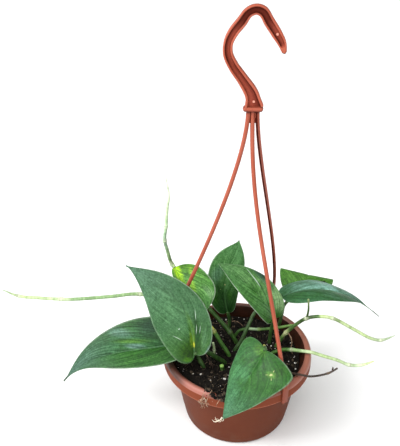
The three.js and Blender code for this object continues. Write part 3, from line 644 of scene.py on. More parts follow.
LEAVES = {
    "leaf_front_left": dict(
        base=[-41, -35.5, 98.5], tip=[-106.5, -9, 180], face=[0.06, -0.9, 0.42],
        wide=[32, 21.5], lobe=[15, 2], heel=[-0.12, 0.3], widest=0.32, drip=[0.04, 0.2],
        bow=[-1, 2], sway=[29, 15.5], fold=[12, 16], curl=15,
        stalk=rooted([[-12, -14, 70], [-20, -19, 81], [-29, -26, 94], [-35, -31, 99], [-41, -35.5, 98.5]]),
        stalk_radius=[2.5, 1.9], slot="leaf_dark", ridge=0.03,
        skin=dict(base=(0.03, 0.1, 0.012), deep=(0.038, 0.115, 0.042), fresh=(0.064, 0.17, 0.07),
                  right=(0.042, 0.115, 0.046), pale=(0.1, 0.24, 0.09), tip=(0.09, 0.19, 0.12),
                  gloss=0.26, veins=0.35, margin=(0.14, 0.4),
                  # Painted light: the dark oval by the midrib is crease shade, and the bluish one at the lobe
                  # a highlight.
                  tints_and_painted_light=[((-4, 4), 17, 11, 40, (0.014, 0.055, 0.001), 0.95),
                         ((11, 12), 11, 3.6, 70, MID_LEAF, 0.6),
                         ((5.2, 17), 20, 4.4, 78, PAINTED_CREASE_SHADE, 0.95),
                         ((0.6, 22), 17, 3.4, 84, (0.055, 0.15, 0.012), 0.7),
                         ((-1.0, 12), 9, 3.2, 86, (0.08, 0.165, 0.004), 0.85),
                         ((-2, 1), 9, 6, 30, (0.008, 0.035, 0.0005), 0.9),
                         ((-5.5, -5.5), 6, 3, 0, (0.05, 0.16, 0.003), 0.7),
                         ((14.5, 3.5), 6, 2.6, 50, PAINTED_SHEEN, 0.6)],
                  spots=[((0.2, 7.4), 3.4, 1.0, 90, YELLOW)],
                  # The streaks carry painted highlights.
                  streaks=[((9.4, 32), 5.5, 0.42, 66), ((8.6, 19.5), 4, 0.34, 64), ((5.2, 20), 5, 0.38, 70),
                           ((-10.8, 25.4), 1.2, 0.8, 0), ((-14.8, 16.8), 6.4, 0.45, -44)])),
    "leaf_left": dict(
        base=[-46.5, -14, 99], tip=[-174, -34, 54.5], face=[-0.12, -0.27, 0.95],
        wide=[22.5, 30.6], lobe=[7, 8], widest=0.31, drip=[0.04, 0.0],
        bow=[10, 16], sway=[-8.5, 21], fold=[11, 44], curl=15,
        stalk=rooted([[-33, -21, 70], [-38, -18, 79], [-43, -15, 92], [-46.5, -14, 99]]),
        stalk_radius=[2.2, 1.8], slot="leaf_dark", ridge=0.1,
        skin=dict(base=(0.012, 0.052, 0.008), deep=(0.018, 0.076, 0.014), fresh=(0.026, 0.104, 0.017),
                  right=(0.03, 0.112, 0.036), pale=(0.1, 0.23, 0.12), tip=(0.08, 0.155, 0.12),
                  gloss=0.3, veins=0.9,
                  # Painted light: the first dark oval is the front left leaf's shadow, and the bluish ones
                  # are painted sheen.
                  tints_and_painted_light=[((21, 34), 22, 13, 90, (0.012, 0.04, 0.02), 0.85),
                         ((18.8, 66), 16, 6, 70, PAINTED_SHEEN, 0.32),
                         ((9, 56), 22, 2.8, 82, (0.06, 0.165, 0.022), 0.8),
                         ((3.4, 53), 12, 3, 80, PAINTED_SHEEN, 0.55),
                         ((0, 138), 15, 6, 90, (0.03, 0.06, 0.03), 0.85)])),
    "leaf_upright": dict(
        base=[-11, 47, 88], tip=[-0.5, 45, 179.5], face=[-0.18, -0.94, 0.3],
        wide=[20, 17], lobe=[3, 3], widest=0.46, drip=[0.4, 0.4],
        bow=[-10, -2], sway=[-19, -1], fold=[10, 13], curl=15,
        stalk=rooted([[-9, 45, 70], [-9, 46, 79], [-11, 47, 88]]),
        stalk_radius=[1.9, 1.6], slot="leaf_dark", ridge=0.04,
        # The very dark base, reaching high by dark_base, is the painted shadow of the centre right leaf in
        # front.
        skin=dict(base=(0.001, 0.018, 0.0005), deep=(0.034, 0.12, 0.024), fresh=(0.08, 0.225, 0.065),
                  pale=(0.1, 0.25, 0.08), tip=(0.09, 0.24, 0.085), gloss=0.36, veins=0.55, dark_base=0.6,
                  sheen=0.1, margin=(0.6, 0.4),
                  tints_and_painted_light=[((-10, 41), 15, 8, 78, (0.085, 0.19, 0.11), 0.7),
                         ((6, 19), 9, 5, 90, (0.02, 0.1, 0.004), 0.5),
                         ((-10, 14), 8, 4, 80, (0.02, 0.095, 0.006), 0.5)],
                  spots=[((0, 29.6), 1.1, 0.8, 60, SCAR), ((-4, 24), 0.6, 0.5, 0, SCAR)])),
    "leaf_centre_right": dict(
        base=[37, 19, 103.5], tip=[-20, 7, 175], face=[0.2, -0.83, 0.52],
        wide=[14, 18.5], lobe=[6, 5], widest=0.34, drip=[0.36, 0.36],
        bow=[12, 0.5], sway=[9, 6], fold=[13, 13], curl=20,
        stalk=rooted([[34, 21, 70], [35, 20.5, 86], [37, 19, 103.5]]),
        stalk_radius=[2.1, 1.7], slot="leaf_dark", ridge=0.05,
        skin=dict(base=(0.028, 0.11, 0.014), deep=(0.034, 0.13, 0.02), fresh=(0.058, 0.183, 0.044),
                  right=(0.11, 0.26, 0.08), pale=(0.12, 0.26, 0.1), tip=(0.08, 0.21, 0.07),
                  gloss=0.26, veins=1.0, margin=(1.0, 0.2),
                  # Painted light: the first, pale oval stands for light on the leaf, and the streaks carry
                  # painted highlights.
                  tints_and_painted_light=[((13, 17), 17, 7, 80, (0.2, 0.36, 0.15), 0.9),
                         ((15.5, 50), 24, 4.5, 84, (0.025, 0.075, 0.04), 0.95),
                         ((-5, 40), 22, 4, 88, (0.08, 0.23, 0.06), 0.5)],
                  streaks=[((9, 53.8), 8.5, 0.6, 76.5), ((7.8, 47.2), 8, 0.6, 77),
                           ((10.4, 60), 6, 0.35, 76)])),
    "leaf_far_right": dict(
        base=[45.5, 38, 117.5], tip=[150.3, 46.6, 89.6], face=[-0.09, 0.07, 1],
        wide=[24.1, 28.8], lobe=[1.3, 2.5], widest=0.31, drip=[-0.48, -0.48],
        bow=[25.3, 18], sway=[-10, -1.6], fold=[1, 14.4], curl=20,
        stalk=rooted([[-2, 6, 70], [4, 10, 79], [11, 18, 93], [18, 27, 104], [30, 34, 111],
                      [45.5, 38, 117.5]]),
        stalk_radius=[2.1, 1.7], slot="leaf_blue", ridge=0.04,
        # Painted light: the far half (fresh) is bluish as sheen, and the near half (right) is dark as shade.
        skin=dict(base=(0.022, 0.09, 0.024), deep=(0.04, 0.13, 0.06), fresh=(0.185, 0.375, 0.3),
                  right=(0.028, 0.11, 0.028), pale=(0.1, 0.22, 0.13), tip=(0.045, 0.12, 0.07),
                  gloss=0.34, veins=0.7, margin=(0.1, 0.1),
                  tints_and_painted_light=[((0, 109), 20, 8, 90, (0.008, 0.028, 0.01), 1.0)])),
    "leaf_back": dict(
        base=[69.5, 60.2, 102.9], tip=[77.9, 103.5, 91], face=[0.1, 0.05, 1],
        wide=[32, 27.3], lobe=[4, 4], widest=0.48, drip=[0.3, 0.3],
        bow=[24.8, 20.9], sway=[2.2, 1.3], fold=[1.6, 1.1], curl=2,
        stalk=rooted([[41, 37, 70], [45, 38, 84], [47, 40, 95], [49, 44, 102], [57, 52, 105],
                      [69.5, 60.2, 102.9]]),
        stalk_radius=[2.0, 1.6], slot="leaf_bright", ridge=0.03,
        skin=dict(base=(0.04, 0.15, 0.014), deep=(0.04, 0.15, 0.014), fresh=(0.065, 0.192, 0.029),
                  pale=(0.12, 0.28, 0.06), tip=(0.07, 0.21, 0.03), gloss=0.4, veins=0.6, margin=(0.1, 0.1),
                  # The hole is painted as a dark spot, the shade seen through it.
                  spots=[((17.8, 15.5), 4.2, 3.0, 0, HOLE_SHADE)])),
    "leaf_front": dict(
        base=[26, -47, 117], tip=[-11.5, -92, 73.5], face=[-0.33, -0.45, 0.83],
        wide=[36, 25], lobe=[4, 4], widest=0.1, drip=[0.18, 0.18],
        bow=[-7, 0], sway=[4, -2.5], fold=[0.5, 2], curl=12,
        stalk=rooted([[22, -14, 70], [23, -19, 86], [25, -30, 104], [26, -40, 114], [26, -47, 117]]),
        stalk_radius=[2.1, 1.6], slot="leaf_dark", ridge=0.03,
        skin=dict(base=(0.012, 0.078, 0.006), deep=(0.014, 0.08, 0.008), fresh=(0.027, 0.11, 0.018),
                  right=(0.039, 0.153, 0.05), pale=(0.045, 0.14, 0.03), tip=(0.05, 0.152, 0.08),
                  gloss=0.32, veins=0.55, margin=(0.3, 0.1),
                  tints_and_painted_light=[((-24, 8), 15, 7, 60, (0.018, 0.075, 0.008), 0.8),
                         ((4, 3), 9, 6, 0, YELLOW_GREEN, 0.3),
                         ((-17.5, 16), 6, 4, 20, (0.1, 0.24, 0.03), 0.6)],
                  spots=[((-17.5, 15.9), 2.2, 1.6, 60, SCAR), ((-14.2, 18), 1.9, 0.45, 35, SCAR),
                         ((-19.6, 19.4), 1.9, 0.4, 120, SCAR), ((-18, 11.6), 1.7, 0.4, 90, SCAR)])),
}

# %% [markdown]
# The stalk is fused to its blade, so both go into one piece. Where they meet the stalk has a slight knee,
# with which the living plant turns its leaf to the light. Two separate pieces would be as easy, but a leaf
# is one grown thing.

# %% Make the seven leaves
SEED_STEP = 0.37


def make_leaf(name, leaf, nodes, seed, stalk_finish=stalk_green):
    """A blade and its stalk in one piece."""
    skin = leaf_skin(name + "_skin", **leaf["skin"])
    stalk = stem_shape(leaf["stalk"], leaf["stalk_radius"], knee=0.12, finish=1)
    piece(name + "_grown", [blade_shape(leaf, seed), stalk], [skin, stalk_finish], leaf["slot"], nodes)


for number, (name, leaf) in enumerate(LEAVES.items()):
    make_leaf(name, leaf, [name], SEED_STEP * number)

# %% [markdown]
# Runners are long bare shoots that look for something to climb. One climbs behind the plant and carries a
# young, thin, bright leaf. Another bears the stalk of a leaf that is lost. They use the stem tube again,
# because a runner differs from a stalk only in its joints, its pointed end and its colours.

# %% Make the runners
LIME = (0.27, 0.5, 0.03)
YOUNG_LEAF = dict(
    base=[-65, 30, 154.5], tip=[-32.5, 2, 119.5], face=[0, -0.76, 0.65],
    wide=[22.5, 8.5], lobe=[-0.5, 0.8], widest=0.54, drip=[0.36, 0.36],
    bow=[6, 7], sway=[2, -6], fold=[2, 6], curl=15,
    stalk=[[-68, 33, 156], [-66.5, 31.5, 155.5], [-65, 30, 154.5]],
    stalk_radius=[1.3, 1.2], slot="leaf_bright", ridge=0.04,
    skin=dict(base=(0.06, 0.17, 0.008), deep=(0.04, 0.15, 0.014), fresh=(0.085, 0.25, 0.046),
              right=(0.09, 0.25, 0.015), pale=(0.2, 0.45, 0.06), tip=(0.095, 0.29, 0.08), gloss=0.36,
              veins=1.0, margin=(0.8, 0.3),
              tints_and_painted_light=[((-0.5, 5), 14, 4.4, 84, (0.32, 0.6, 0.008), 1.0), ((-3, 26), 9, 4, 70, LIME, 0.45),
                     ((-13, 42), 12, 4.5, 100, (0.26, 0.46, 0.22), 0.5), ((-12, 13), 9, 4, 60, LIME, 0.3)]))

RUNNERS = {
    "runner_up": dict(
        points=rooted([
            [-1, 19, 70], [-8, 22, 81], [-26, 30, 99], [-45, 36, 119], [-58, 35, 141], [-68, 33, 156],
            [-72, 31, 174], [-74, 30, 186], [-72, 29, 202], [-70, 28, 223], [-68, 27, 237],
                       [-70, 25, 257]]),
        radius=[2.4, 1.35], nodes=[2, 6, 8, 9], finish=climber, slot="stem_green"),
    "runner_left": dict(
        points=rooted([
            [-8, -2, 70], [-16, 2, 82], [-24, 6, 94], [-36, 13, 105], [-52, 17, 116], [-99, 14, 131],
            [-129, 8, 131], [-164, 0, 132], [-176, -2, 133], [-196, -4, 135], [-217, -6, 138],
                       [-231, -8, 146]]),
        radius=[2.2, 1.5], nodes=[3, 6, 9, 11], finish=far_reacher, slot="stem_pale"),
    "runner_back": dict(
        points=rooted([[-3, 27, 70], [2, 28, 78], [10, 28, 81], [23, 28, 81], [44, 28, 84.5],
                       [59, 27, 90]]),
        radius=[1.6, 1.5], nodes=[4], finish=creeper, slot="stem_green"),
    "runner_low": dict(
        points=rooted([
            [36, 3, 70], [46, 0, 78], [55, -4.5, 82.5], [64, -8, 84.5], [74, -10, 85], [86, -12.5, 83],
            [99, -14, 80], [111, -17, 77], [123, -18, 78.5], [134, -18, 84]]),
        radius=[2.0, 1.45], nodes=[3, 8], finish=low_reacher, slot="stem_pale"),
    "runner_right": dict(
        points=rooted([
            [41, 15, 70], [46, 13, 83], [50, 10, 93], [59, 6, 107], [68, 3, 117], [80, 0, 122],
            [92, -2, 122], [113, -5, 112], [130, -8, 104], [140, -9, 103], [152, -10, 110]]),
        radius=[2.1, 1.4], nodes=[3, 5, 7, 10], finish=right_reacher, slot="stem_green"),
}
BARE_STALK = [[68, 3, 117], [69, 3, 127], [68, 3, 140]]

make_leaf("young_leaf", YOUNG_LEAF, ["runner_up"], 0.6, shoot_white)
for name, runner in RUNNERS.items():
    shapes = [stem_shape(runner["points"], runner["radius"], runner["nodes"], sharp=0.12)]
    if name == "runner_right":
        shapes.append(stem_shape(BARE_STALK, [1.1, 0.9], finish=1))
    piece(name + "_grown", shapes, [runner["finish"], bare_olive], runner["slot"], [name])

# %% [markdown]
# Between them stand short ends: a pale shoot, two stubs that were cut, a thin dead stem and a dry twig that
# has fallen across the rim. Each could be a cylinder, but the stem tube also gives them joints, streaks and
# soft ends.

# %% Make the short stems
SHORT_STEMS = {
    "shoot_pale": dict(points=rooted([[-23, -6, 70], [-23, -5.5, 80], [-24, -5, 88]]),
                       radius=[1.3, 1.1], nodes=[2], finish=shoot_white, slot="stem_pale"),
    "stub_cut": dict(points=rooted([[-14, -23, 70], [-14.5, -23.5, 75]]),
                     radius=[2.3, 2.1], nodes=[], finish=stub_green, slot="stem_green"),
    "stub_yellow": dict(points=rooted([[28, 12, 70], [28.5, 11.5, 73.5]]),
                        radius=[1.5, 1.4], nodes=[], finish=stub_yellow, slot="stem_pale"),
    "stem_thin": dict(points=rooted([[-24, -20, 70], [-27, -20, 77], [-30, -20, 83]]),
                      radius=[0.9, 0.7], nodes=[], finish=dead_brown, slot="stem_dry"),
    "twig_dry": dict(points=rooted([[49, -34, 70], [52, -36.5, 80], [60, -42.5, 85], [70, -45.5, 86],
                                    [86, -46, 91.5], [94, -45, 97]]),
                     radius=[1.3, 0.85], nodes=[2, 5], finish=dead_brown, slot="stem_dry"),
}
TWIG_BUD = [[89.5, -44.4, 94.6], [90, -44.8, 96.5], [89.6, -45, 98]]

for name, short in SHORT_STEMS.items():
    shapes = [stem_shape(short["points"], short["radius"], short["nodes"])]
    if name == "twig_dry":
        shapes.append(stem_shape(TWIG_BUD, [0.75, 0.5]))
    piece(name + "_grown", shapes, [short["finish"]], short["slot"], [name])

# %% [markdown]
# ## The pot
# The pot is thin moulded plastic: a tapered wall, a rolled lip and a short skirt that hangs outside it and
# gives the hanger something to grip. A turned outline is the natural way to make it, as on a lathe. Moulded
# corners are never sharp, so each corner of the outline is first rounded by a small curve.

# %% Turn the pot
POT_HEIGHT, RIM_RADIUS, BASE_RADIUS = 82, 75.2, 54
SKIRT_BOTTOM, SKIRT_INSIDE, FLOOR_THICKNESS = 68.6, 73.2, 2
DRAIN_HOLES, DRAIN_RADIUS, DRAIN_CIRCLE = 6, 4, 34
POT_INSIDE = [
    [67, 77.8], [65, 73], [63.7, 67], [61.8, 56], [58.8, 40], [55.4, 20], [52.4, 4], [50.4, FLOOR_THICKNESS],
]
POT_PROFILE = [
    [0, 0], [50, 0], [53, 0.8], [BASE_RADIUS, 3], [57.2, 20], [60.6, 40], [63.6, 56], [65.4, 67],
    [66.6, 73], [68.4, 77.2], [72.2, 78.6], [SKIRT_INSIDE, 77.2], [SKIRT_INSIDE, SKIRT_BOTTOM],
    [RIM_RADIUS, SKIRT_BOTTOM], [RIM_RADIUS, SKIRT_BOTTOM + 1.6], [RIM_RADIUS, 77.4], [74.6, 80],
    [73, POT_HEIGHT - 0.3], [71.4, POT_HEIGHT], [69.8, POT_HEIGHT - 0.5], [68.4, 80.2],
    *POT_INSIDE, [0, FLOOR_THICKNESS],
]
TURN_SIDES, DRILL_SIDES, CORNER_ROUNDING = 160, 28, 0.9
POINTS_INTO_SHADE, EDGE_REACH = 9, 0.9


def polar(radius, turn, height):
    """Places at given distances from the pot's axis, angles round it and heights."""
    return np.stack(np.broadcast_arrays(radius * np.cos(turn), radius * np.sin(turn), height), -1)


def rounded(outline, size, pieces=3):
    """Replaces each inner corner by a short curve that starts up to size before it."""
    outline = [np.array(p, float) for p in outline]
    made = [outline[0]]
    for before, corner, after in zip(outline, outline[1:], outline[2:]):
        start = corner + unit(before - corner) * min(size, 0.45 * np.linalg.norm(before - corner))
        end = corner + unit(after - corner) * min(size, 0.45 * np.linalg.norm(after - corner))
        for s in np.linspace(0, 1, pieces + 1):
            made.append((1 - s) ** 2 * start + 2 * s * (1 - s) * corner + s**2 * end)
    return made + [outline[-1]]


def turned_shape(profile):
    """Turns an outline round the axis, and marks its inside and the skirt's lower edge."""
    radius, height = np.array(profile).T
    inside = np.clip((np.arange(len(profile)) - np.argmax(height)) / POINTS_INTO_SHADE, 0, 1)
    edge = hump(height - SKIRT_BOTTOM, EDGE_REACH) * (radius > SKIRT_INSIDE + 0.5)
    rings = [polar(r, circle(TURN_SIDES), z) for r, z in profile]
    marks = {"inside": np.repeat(inside, TURN_SIDES), "edge": np.repeat(edge, TURN_SIDES)}
    return sweep(rings, marks, ends=False)


# %% [markdown]
# The plastic is a dusty terracotta red. It has faint flow clouds from the mould, fine pores, and dust and
# water marks that gather low on the wall. The skirt is painted a little brighter than the wall, as light,
# and its lower edge carries a painted highlight. The inside is painted nearly black, as peat stain and as
# shade, and the inside mark finds it. The lip is glossier. It is paler at the right as painted light and
# darker at the left as painted shade, with a painted highlight streak at the front left. These are painted,
# because the light of the photograph can't be known exactly.

# %% A recipe for moulded plastic
DUST, WATER_MARK, PEAT_STAIN_AND_SHADE = (0.25, 0.13, 0.08), (0.12, 0.06, 0.038), (0.012, 0.006, 0.004)
SKIRT_LIT, EDGE_HIGHLIGHT = (0.19, 0.045, 0.02), (0.45, 0.15, 0.085)
LIP_PAINTED_LIGHT, LIP_SHADED, LIP_HIGHLIGHT = (0.34, 0.125, 0.085), (0.042, 0.012, 0.007), (0.45, 0.17, 0.13)


def moulded(name, tone, light, dark, roughness, specular=0.2):
    """Plastic in three near tones."""
    skin = Finish(name, specular=specular)
    fade, clouds = skin.fade, skin.speckle(28, 4)
    skin.coat = skin.mix(fade(clouds, 0.3, 0.75), tone, light)
    skin.paint(fade(skin.speckle(9, 3), 0.6, 0.3, 0.0, 0.4), dark)
    skin.paint(fade(skin.grain((160, 160, 22), 4), 0.6, 0.8, 0.0, 0.22), light)
    skin.paint(fade(skin.speckle(380, 3, 0.7), 0.66, 0.8, 0.0, 0.25), DUST)
    skin.set("Roughness", fade(clouds, 0.3, 0.7, roughness, roughness + 0.14))
    skin.relief((skin.speckle(900, 3), 0.03), (clouds, 0.25))
    return skin


def pot_finish(*tones):
    """Moulded plastic with low splashes, painted light on the skirt and its edge, and stain and painted shade
    inside.
    """
    skin = moulded(*tones)
    fade, height, inside, splash = skin.fade, skin.axis("Z"), skin.mark("inside"), skin.speckle(120, 4)
    splashed = skin.calc("MULTIPLY", fade(height, 0.03, 0.0), fade(splash, 0.42, 0.66, 0.0, 0.35))
    skirt = skin.calc("MULTIPLY", fade(height, 0.067, 0.0685), fade(inside, 0.1, 0.0, 0.0, 0.85))
    skin.paint(splashed, WATER_MARK)
    # Painted light: the skirt is lighter than the shaded wall below it.
    skin.paint(skirt, SKIRT_LIT)
    # A painted highlight along the skirt's lower edge.
    skin.paint(skin.calc("MULTIPLY", skin.mark("edge"), 0.85), EDGE_HIGHLIGHT)
    # Painted nearly black inside: peat stain and painted shade.
    skin.paint(skin.calc("MULTIPLY", inside, fade(splash, 0.2, 0.6, 0.97, 0.75)), PEAT_STAIN_AND_SHADE)
    return skin


def lip_finish():
    skin = pot_finish("pot_lip", (0.12, 0.03, 0.014), (0.15, 0.042, 0.022), (0.09, 0.02, 0.009), 0.38, 0.5)
    streak = {0: skin.place, 1: (-0.037, -0.062, 0.0815)}
    from_highlight = skin.add("VectorMath", streak, operation="DISTANCE").outputs["Value"]
    # Painted light: the lip is paler at the right.
    skin.paint(skin.fade(skin.axis("X"), 0.03, 0.068, 0.0, 0.85), LIP_PAINTED_LIGHT)
    # Painted shade: the lip is darker at the left.
    skin.paint(skin.fade(skin.axis("X"), -0.038, -0.06, 0.0, 0.92), LIP_SHADED)
    # A painted highlight streak on the lip at the front left.
    skin.paint(skin.fade(from_highlight, 0.022, 0.006, 0.0, 0.55), LIP_HIGHLIGHT)
    return skin


LIP_FROM, LIP_WIDTH, PLASTIC_CREASE = 77.5, 6.5, math.radians(50)
pot_wall = pot_finish("pot_wall", (0.104, 0.025, 0.011), (0.128, 0.035, 0.017), (0.076, 0.016, 0.007),
                      0.45, 0.05)
pot_shape = turned_shape(rounded(POT_PROFILE, CORNER_ROUNDING))
pot_shell = piece("pot_shell", [pot_shape], [pot_wall, lip_finish()], "pot_plastic", ["pot"])
for face in pot_shell.data.polygons:
    middle = face.center / MM
    if middle.z > LIP_FROM and math.hypot(middle.x, middle.y) > RIM_RADIUS - LIP_WIDTH:
        face.material_index = 1

# %% [markdown]
# Water leaves through round holes in the floor. They are cut with a boolean, which is simpler here than
# weaving holes into a turned mesh, and the result is kept as the pot's mesh.

# %% Cut the drain holes
def cut_away(target, shape):
    """Cuts a shape out of an object for good."""
    cutter = placed("cutter", mesh_of("cutter", shape["points"], shape["faces"]))
    modifier = target.modifiers.new("cut", "BOOLEAN")
    modifier.object, modifier.operation, modifier.solver = cutter, "DIFFERENCE", "EXACT"
    graph = bpy.context.evaluated_depsgraph_get()
    done = bpy.data.meshes.new_from_object(target.evaluated_get(graph))
    target.modifiers.clear()
    target.data = done
    mesh = cutter.data
    bpy.data.objects.remove(cutter)
    bpy.data.meshes.remove(mesh)


for i in range(DRAIN_HOLES):
    turn = 2 * math.pi * (i + 0.5) / DRAIN_HOLES
    drill = [polar(DRAIN_CIRCLE, turn, height) for height in (-3, 6)]
    cut_away(pot_shell, tube_shape(drill, DRAIN_RADIUS, sides=DRILL_SIDES))
pot_shell.data.set_sharp_from_angle(angle=PLASTIC_CREASE)
print("pot faces after drilling:", len(pot_shell.data.polygons))

# %% [markdown]
# ## The soil
# Peat is dark, damp and never flat. A single displaced surface would look like dough, so the bed is only
# the lowest layer: on it lie hundreds of loose crumbs, brown fibres and white grains that keep the mix
# airy. At the front left the soil has been heaped up and has spilled over the lip.

# %% Lay the soil bed
SOIL_LEVEL, SOIL_EDGE, SOIL_GAP = 69.5, 65.2, 0.35
EDGE_TOP, BED_TOP, CRUMB_TOP = 77.5, 78.5, 79.0
MOUND = dict(x=-14, y=-68, height=13, spread=13)
SOIL_UNDERSIDE = [(63.2, 66), (58.4, 40), (53.2, 10), (50.2, 2.3), (0.3, 2.3)]
SPILL = [[-111, 68, 5.4], [-104, 69.6, 6.6], [-97, 70, 6.4], [-90, 69.4, 6], [-84, 68.6, 5.4]]
SPILL_HEIGHT, SPILL_ANGLES = 80, (-103, -87)
LIP_INSIDE, LIP_SPAN, SPILL_REACH = 66, 9.2, 75.5


def soil_height(x, y):
    """The solid's own surface: gentle relief and the mound."""
    relief = 0.8 * np.sin(0.21 * x + 1.3) * np.cos(0.17 * y) + 0.6 * np.sin(0.35 * y + 0.28 * x)
    away = (x - MOUND["x"]) ** 2 + (y - MOUND["y"]) ** 2
    return SOIL_LEVEL + relief + MOUND["height"] * np.exp(-away / (2 * MOUND["spread"] ** 2))


def rough(x, y, z, size):
    """Cloudy noise between about -1 and 1, with features of that size."""
    return noise.fractal(Vector((x, y, z)) / size, 0.6, 2.1, 4)


def soil_bed_shape(rings=70, sides=200):
    turn = circle(sides)
    wall_height, wall_radius = np.array(POT_INSIDE[::-1])[:, ::-1].T
    edge_height = np.minimum(soil_height(SOIL_EDGE * np.cos(turn), SOIL_EDGE * np.sin(turn)), EDGE_TOP)
    edge = np.interp(edge_height, wall_height, wall_radius) - SOIL_GAP
    rows = []
    for k in range(rings):
        radius = min((k + 0.3) / (rings - 1), 1.0) * edge
        x, y = radius * np.cos(turn), radius * np.sin(turn)
        z = np.minimum(soil_height(x, y), BED_TOP)
        z = z + [1.1 * rough(a, b, 0, 9) + 0.7 * rough(a, b, 5, 2.6) for a, b in zip(x, y)]
        rows.append(np.stack([x, y, z], 1))
    rows += [polar(r, turn, z) for r, z in SOIL_UNDERSIDE]
    return sweep(rows, {"shade": 0.5}, ends=False, flip=True)


# %% [markdown]
# Crumbs come from a few lumpy templates, each a small ball pushed in and out by noise. They are turned,
# stretched and scattered by a seeded generator, so the heap is the same each time. A particle system could
# scatter them too, but a list of places is plain to read and can follow the lip.

# %% Scatter crumbs, grains and fibres
chance = np.random.default_rng(7)


def lump_templates(count, level):
    made = []
    for i in range(count):
        ball = bmesh.new()
        bmesh.ops.create_icosphere(ball, subdivisions=level, radius=1)
        aside = Vector((9 * i, 0, 0))
        points = np.array([v.co * (1 + 0.55 * rough(*(v.co + aside), 0.9)) for v in ball.verts])
        made.append((points, [[v.index for v in f.verts] for f in ball.faces]))
        ball.free()
    return made


def random_turn():
    turn, _ = np.linalg.qr(chance.normal(size=(3, 3)))
    return turn * np.sign(np.linalg.det(turn))


def lumps_shape(places, sizes, templates, flatness=0.7, shade=None):
    """A lump at each place. Without a shade, each gets one of its own."""
    points, faces, tones, start = [], [], [], 0
    for number, (place, size) in enumerate(zip(places, sizes)):
        ball, skin = templates[number % len(templates)]
        stretch = size * chance.uniform(0.65, 1.2, 3) * [1, 1, flatness]
        points.append((ball @ random_turn()) * stretch + place)
        faces += [[start + k for k in face] for face in skin]
        tones.append(np.full(len(ball), chance.random() if shade is None else shade))
        start += len(ball)
    marks = {"shade": np.concatenate(tones)}
    return {"points": np.concatenate(points), "faces": faces, "marks": marks, "finish": 0}


def on_soil(count, reach=63.0):
    """Random places on the soil."""
    radius, turn = reach * np.sqrt(chance.random(count)), chance.uniform(0, 2 * np.pi, count)
    x, y = radius * np.cos(turn), radius * np.sin(turn)
    return np.stack([x, y, np.minimum(soil_height(x, y), CRUMB_TOP)], 1)


def on_spill(count):
    """Random places on the heap that lies over the lip."""
    made = []
    while len(made) < count:
        azimuth, radius, size = SPILL[chance.integers(len(SPILL))]
        ball = unit(chance.normal(size=3)) * size * [1, 0.8, 0.62]
        spot = polar(radius, math.radians(azimuth), SPILL_HEIGHT) + ball
        if ball[2] > -1.5 and np.hypot(spot[0], spot[1]) < SPILL_REACH:
            made.append(spot)
    return np.array(made)


def on_lip(count):
    """Random places near the top of the lip, where the soil has spilled over it."""
    azimuth = np.radians(chance.uniform(*SPILL_ANGLES, count))
    radius = LIP_INSIDE + LIP_SPAN * chance.random(count) ** 0.8
    lip_radius, lip_height = np.array(sorted([r, z] for r, z in POT_PROFILE if z >= 77.4 and r > 66.9)).T
    height = np.interp(radius, lip_radius, lip_height) + chance.uniform(-0.2, 0.9, count)
    return polar(radius, azimuth, height)


def fibre_shape(start, length, thickness, bend, tone, steps=7):
    """A thin root or fibre that wanders over the soil."""
    heading = chance.uniform(0, 2 * np.pi)
    place, path = np.array(start, float), []
    for _ in range(steps):
        path.append(place.copy())
        heading += chance.normal() * bend
        place += polar(length / steps, heading, 0)
        place[2] += chance.normal() * 0.3
    fine = smooth_path(path, np.linspace(0, 1, 12))
    return tube_shape(fine, thickness * np.linspace(1, 0.4, len(fine)), {"shade": tone}, sides=4)


def fibres_at(places, lift, lengths, thicknesses, bend, tones):
    """A fibre at each place, drawn from ranges of length, thickness and tone."""
    return [fibre_shape(place + [0, 0, lift], chance.uniform(*lengths), chance.uniform(*thicknesses), bend,
                        chance.uniform(*tones)) for place in places]


# %% [markdown]
# One recipe colours all of the soil. Its shade mark runs from nearly black, through brown, to straw, so the
# same finish serves the bed, the crumbs and the fibres. White grains and dry roots have their own, since no
# shade of peat would reach their tones.

# %% Recipes for peat, white grains and dry roots
def peat_finish():
    skin = Finish("peat", roughness=0.9, specular=0.12)
    fade, shade, grit = skin.fade, skin.mark("shade"), skin.speckle(650, 4, 0.7)
    skin.coat = (0.002, 0.0016, 0.0013)
    skin.paint(fade(shade, 0.0, 0.7), (0.01, 0.008, 0.006))
    skin.paint(fade(shade, 0.7, 1.0), (0.07, 0.052, 0.036))
    skin.paint(fade(shade, 1.0, 1.6), (0.42, 0.32, 0.2))
    skin.paint(fade(grit, 0.6, 0.75, 0.0, 0.5), (0.09, 0.06, 0.042))
    skin.relief((grit, 0.9))
    return skin


def grain_finish():
    skin = Finish("white_grain", roughness=0.8, specular=0.3)
    dirt = skin.speckle(500, 3)
    skin.coat = (0.75, 0.73, 0.68)
    skin.paint(skin.fade(dirt, 0.6, 0.35, 0.0, 0.6), (0.3, 0.24, 0.18))
    skin.relief((dirt, 0.4))
    return skin


def dry_root_finish():
    skin = Finish("dry_root", roughness=0.7, specular=0.3)
    skin.coat = (0.46, 0.31, 0.2)
    skin.paint(skin.fade(skin.speckle(400, 3), 0.35, 0.65), (0.13, 0.075, 0.045))
    skin.paint(skin.fade(skin.mark("shade"), 0.0, 1.0), (0.85, 0.78, 0.62))
    return skin


peat, white_grain, dry_root = peat_finish(), grain_finish(), dry_root_finish()

# %% [markdown]
# Now the layers are laid. Five large lumps form the spilled heap, and loose crumbs cover them and the bed.
# Eleven white grains lie where the photograph shows them, and smaller ones are strewn at random. The bed
# and the crumbs stand for the soil's solid. Grains and fibres are extra, so they are pieces of their own.

# %% Make the soil
GRAINS = [
    [-12.9, 55.3], [-14.6, 27.6], [7, 59], [58.8, -10.2], [58.9, -17.5], [-7.3, -20.2], [-11.1, -37.5],
    [29, 14], [35.6, 15.2], [-42.5, -31.9], [-34.6, -31.4],
]
STREWN_GRAINS = 170

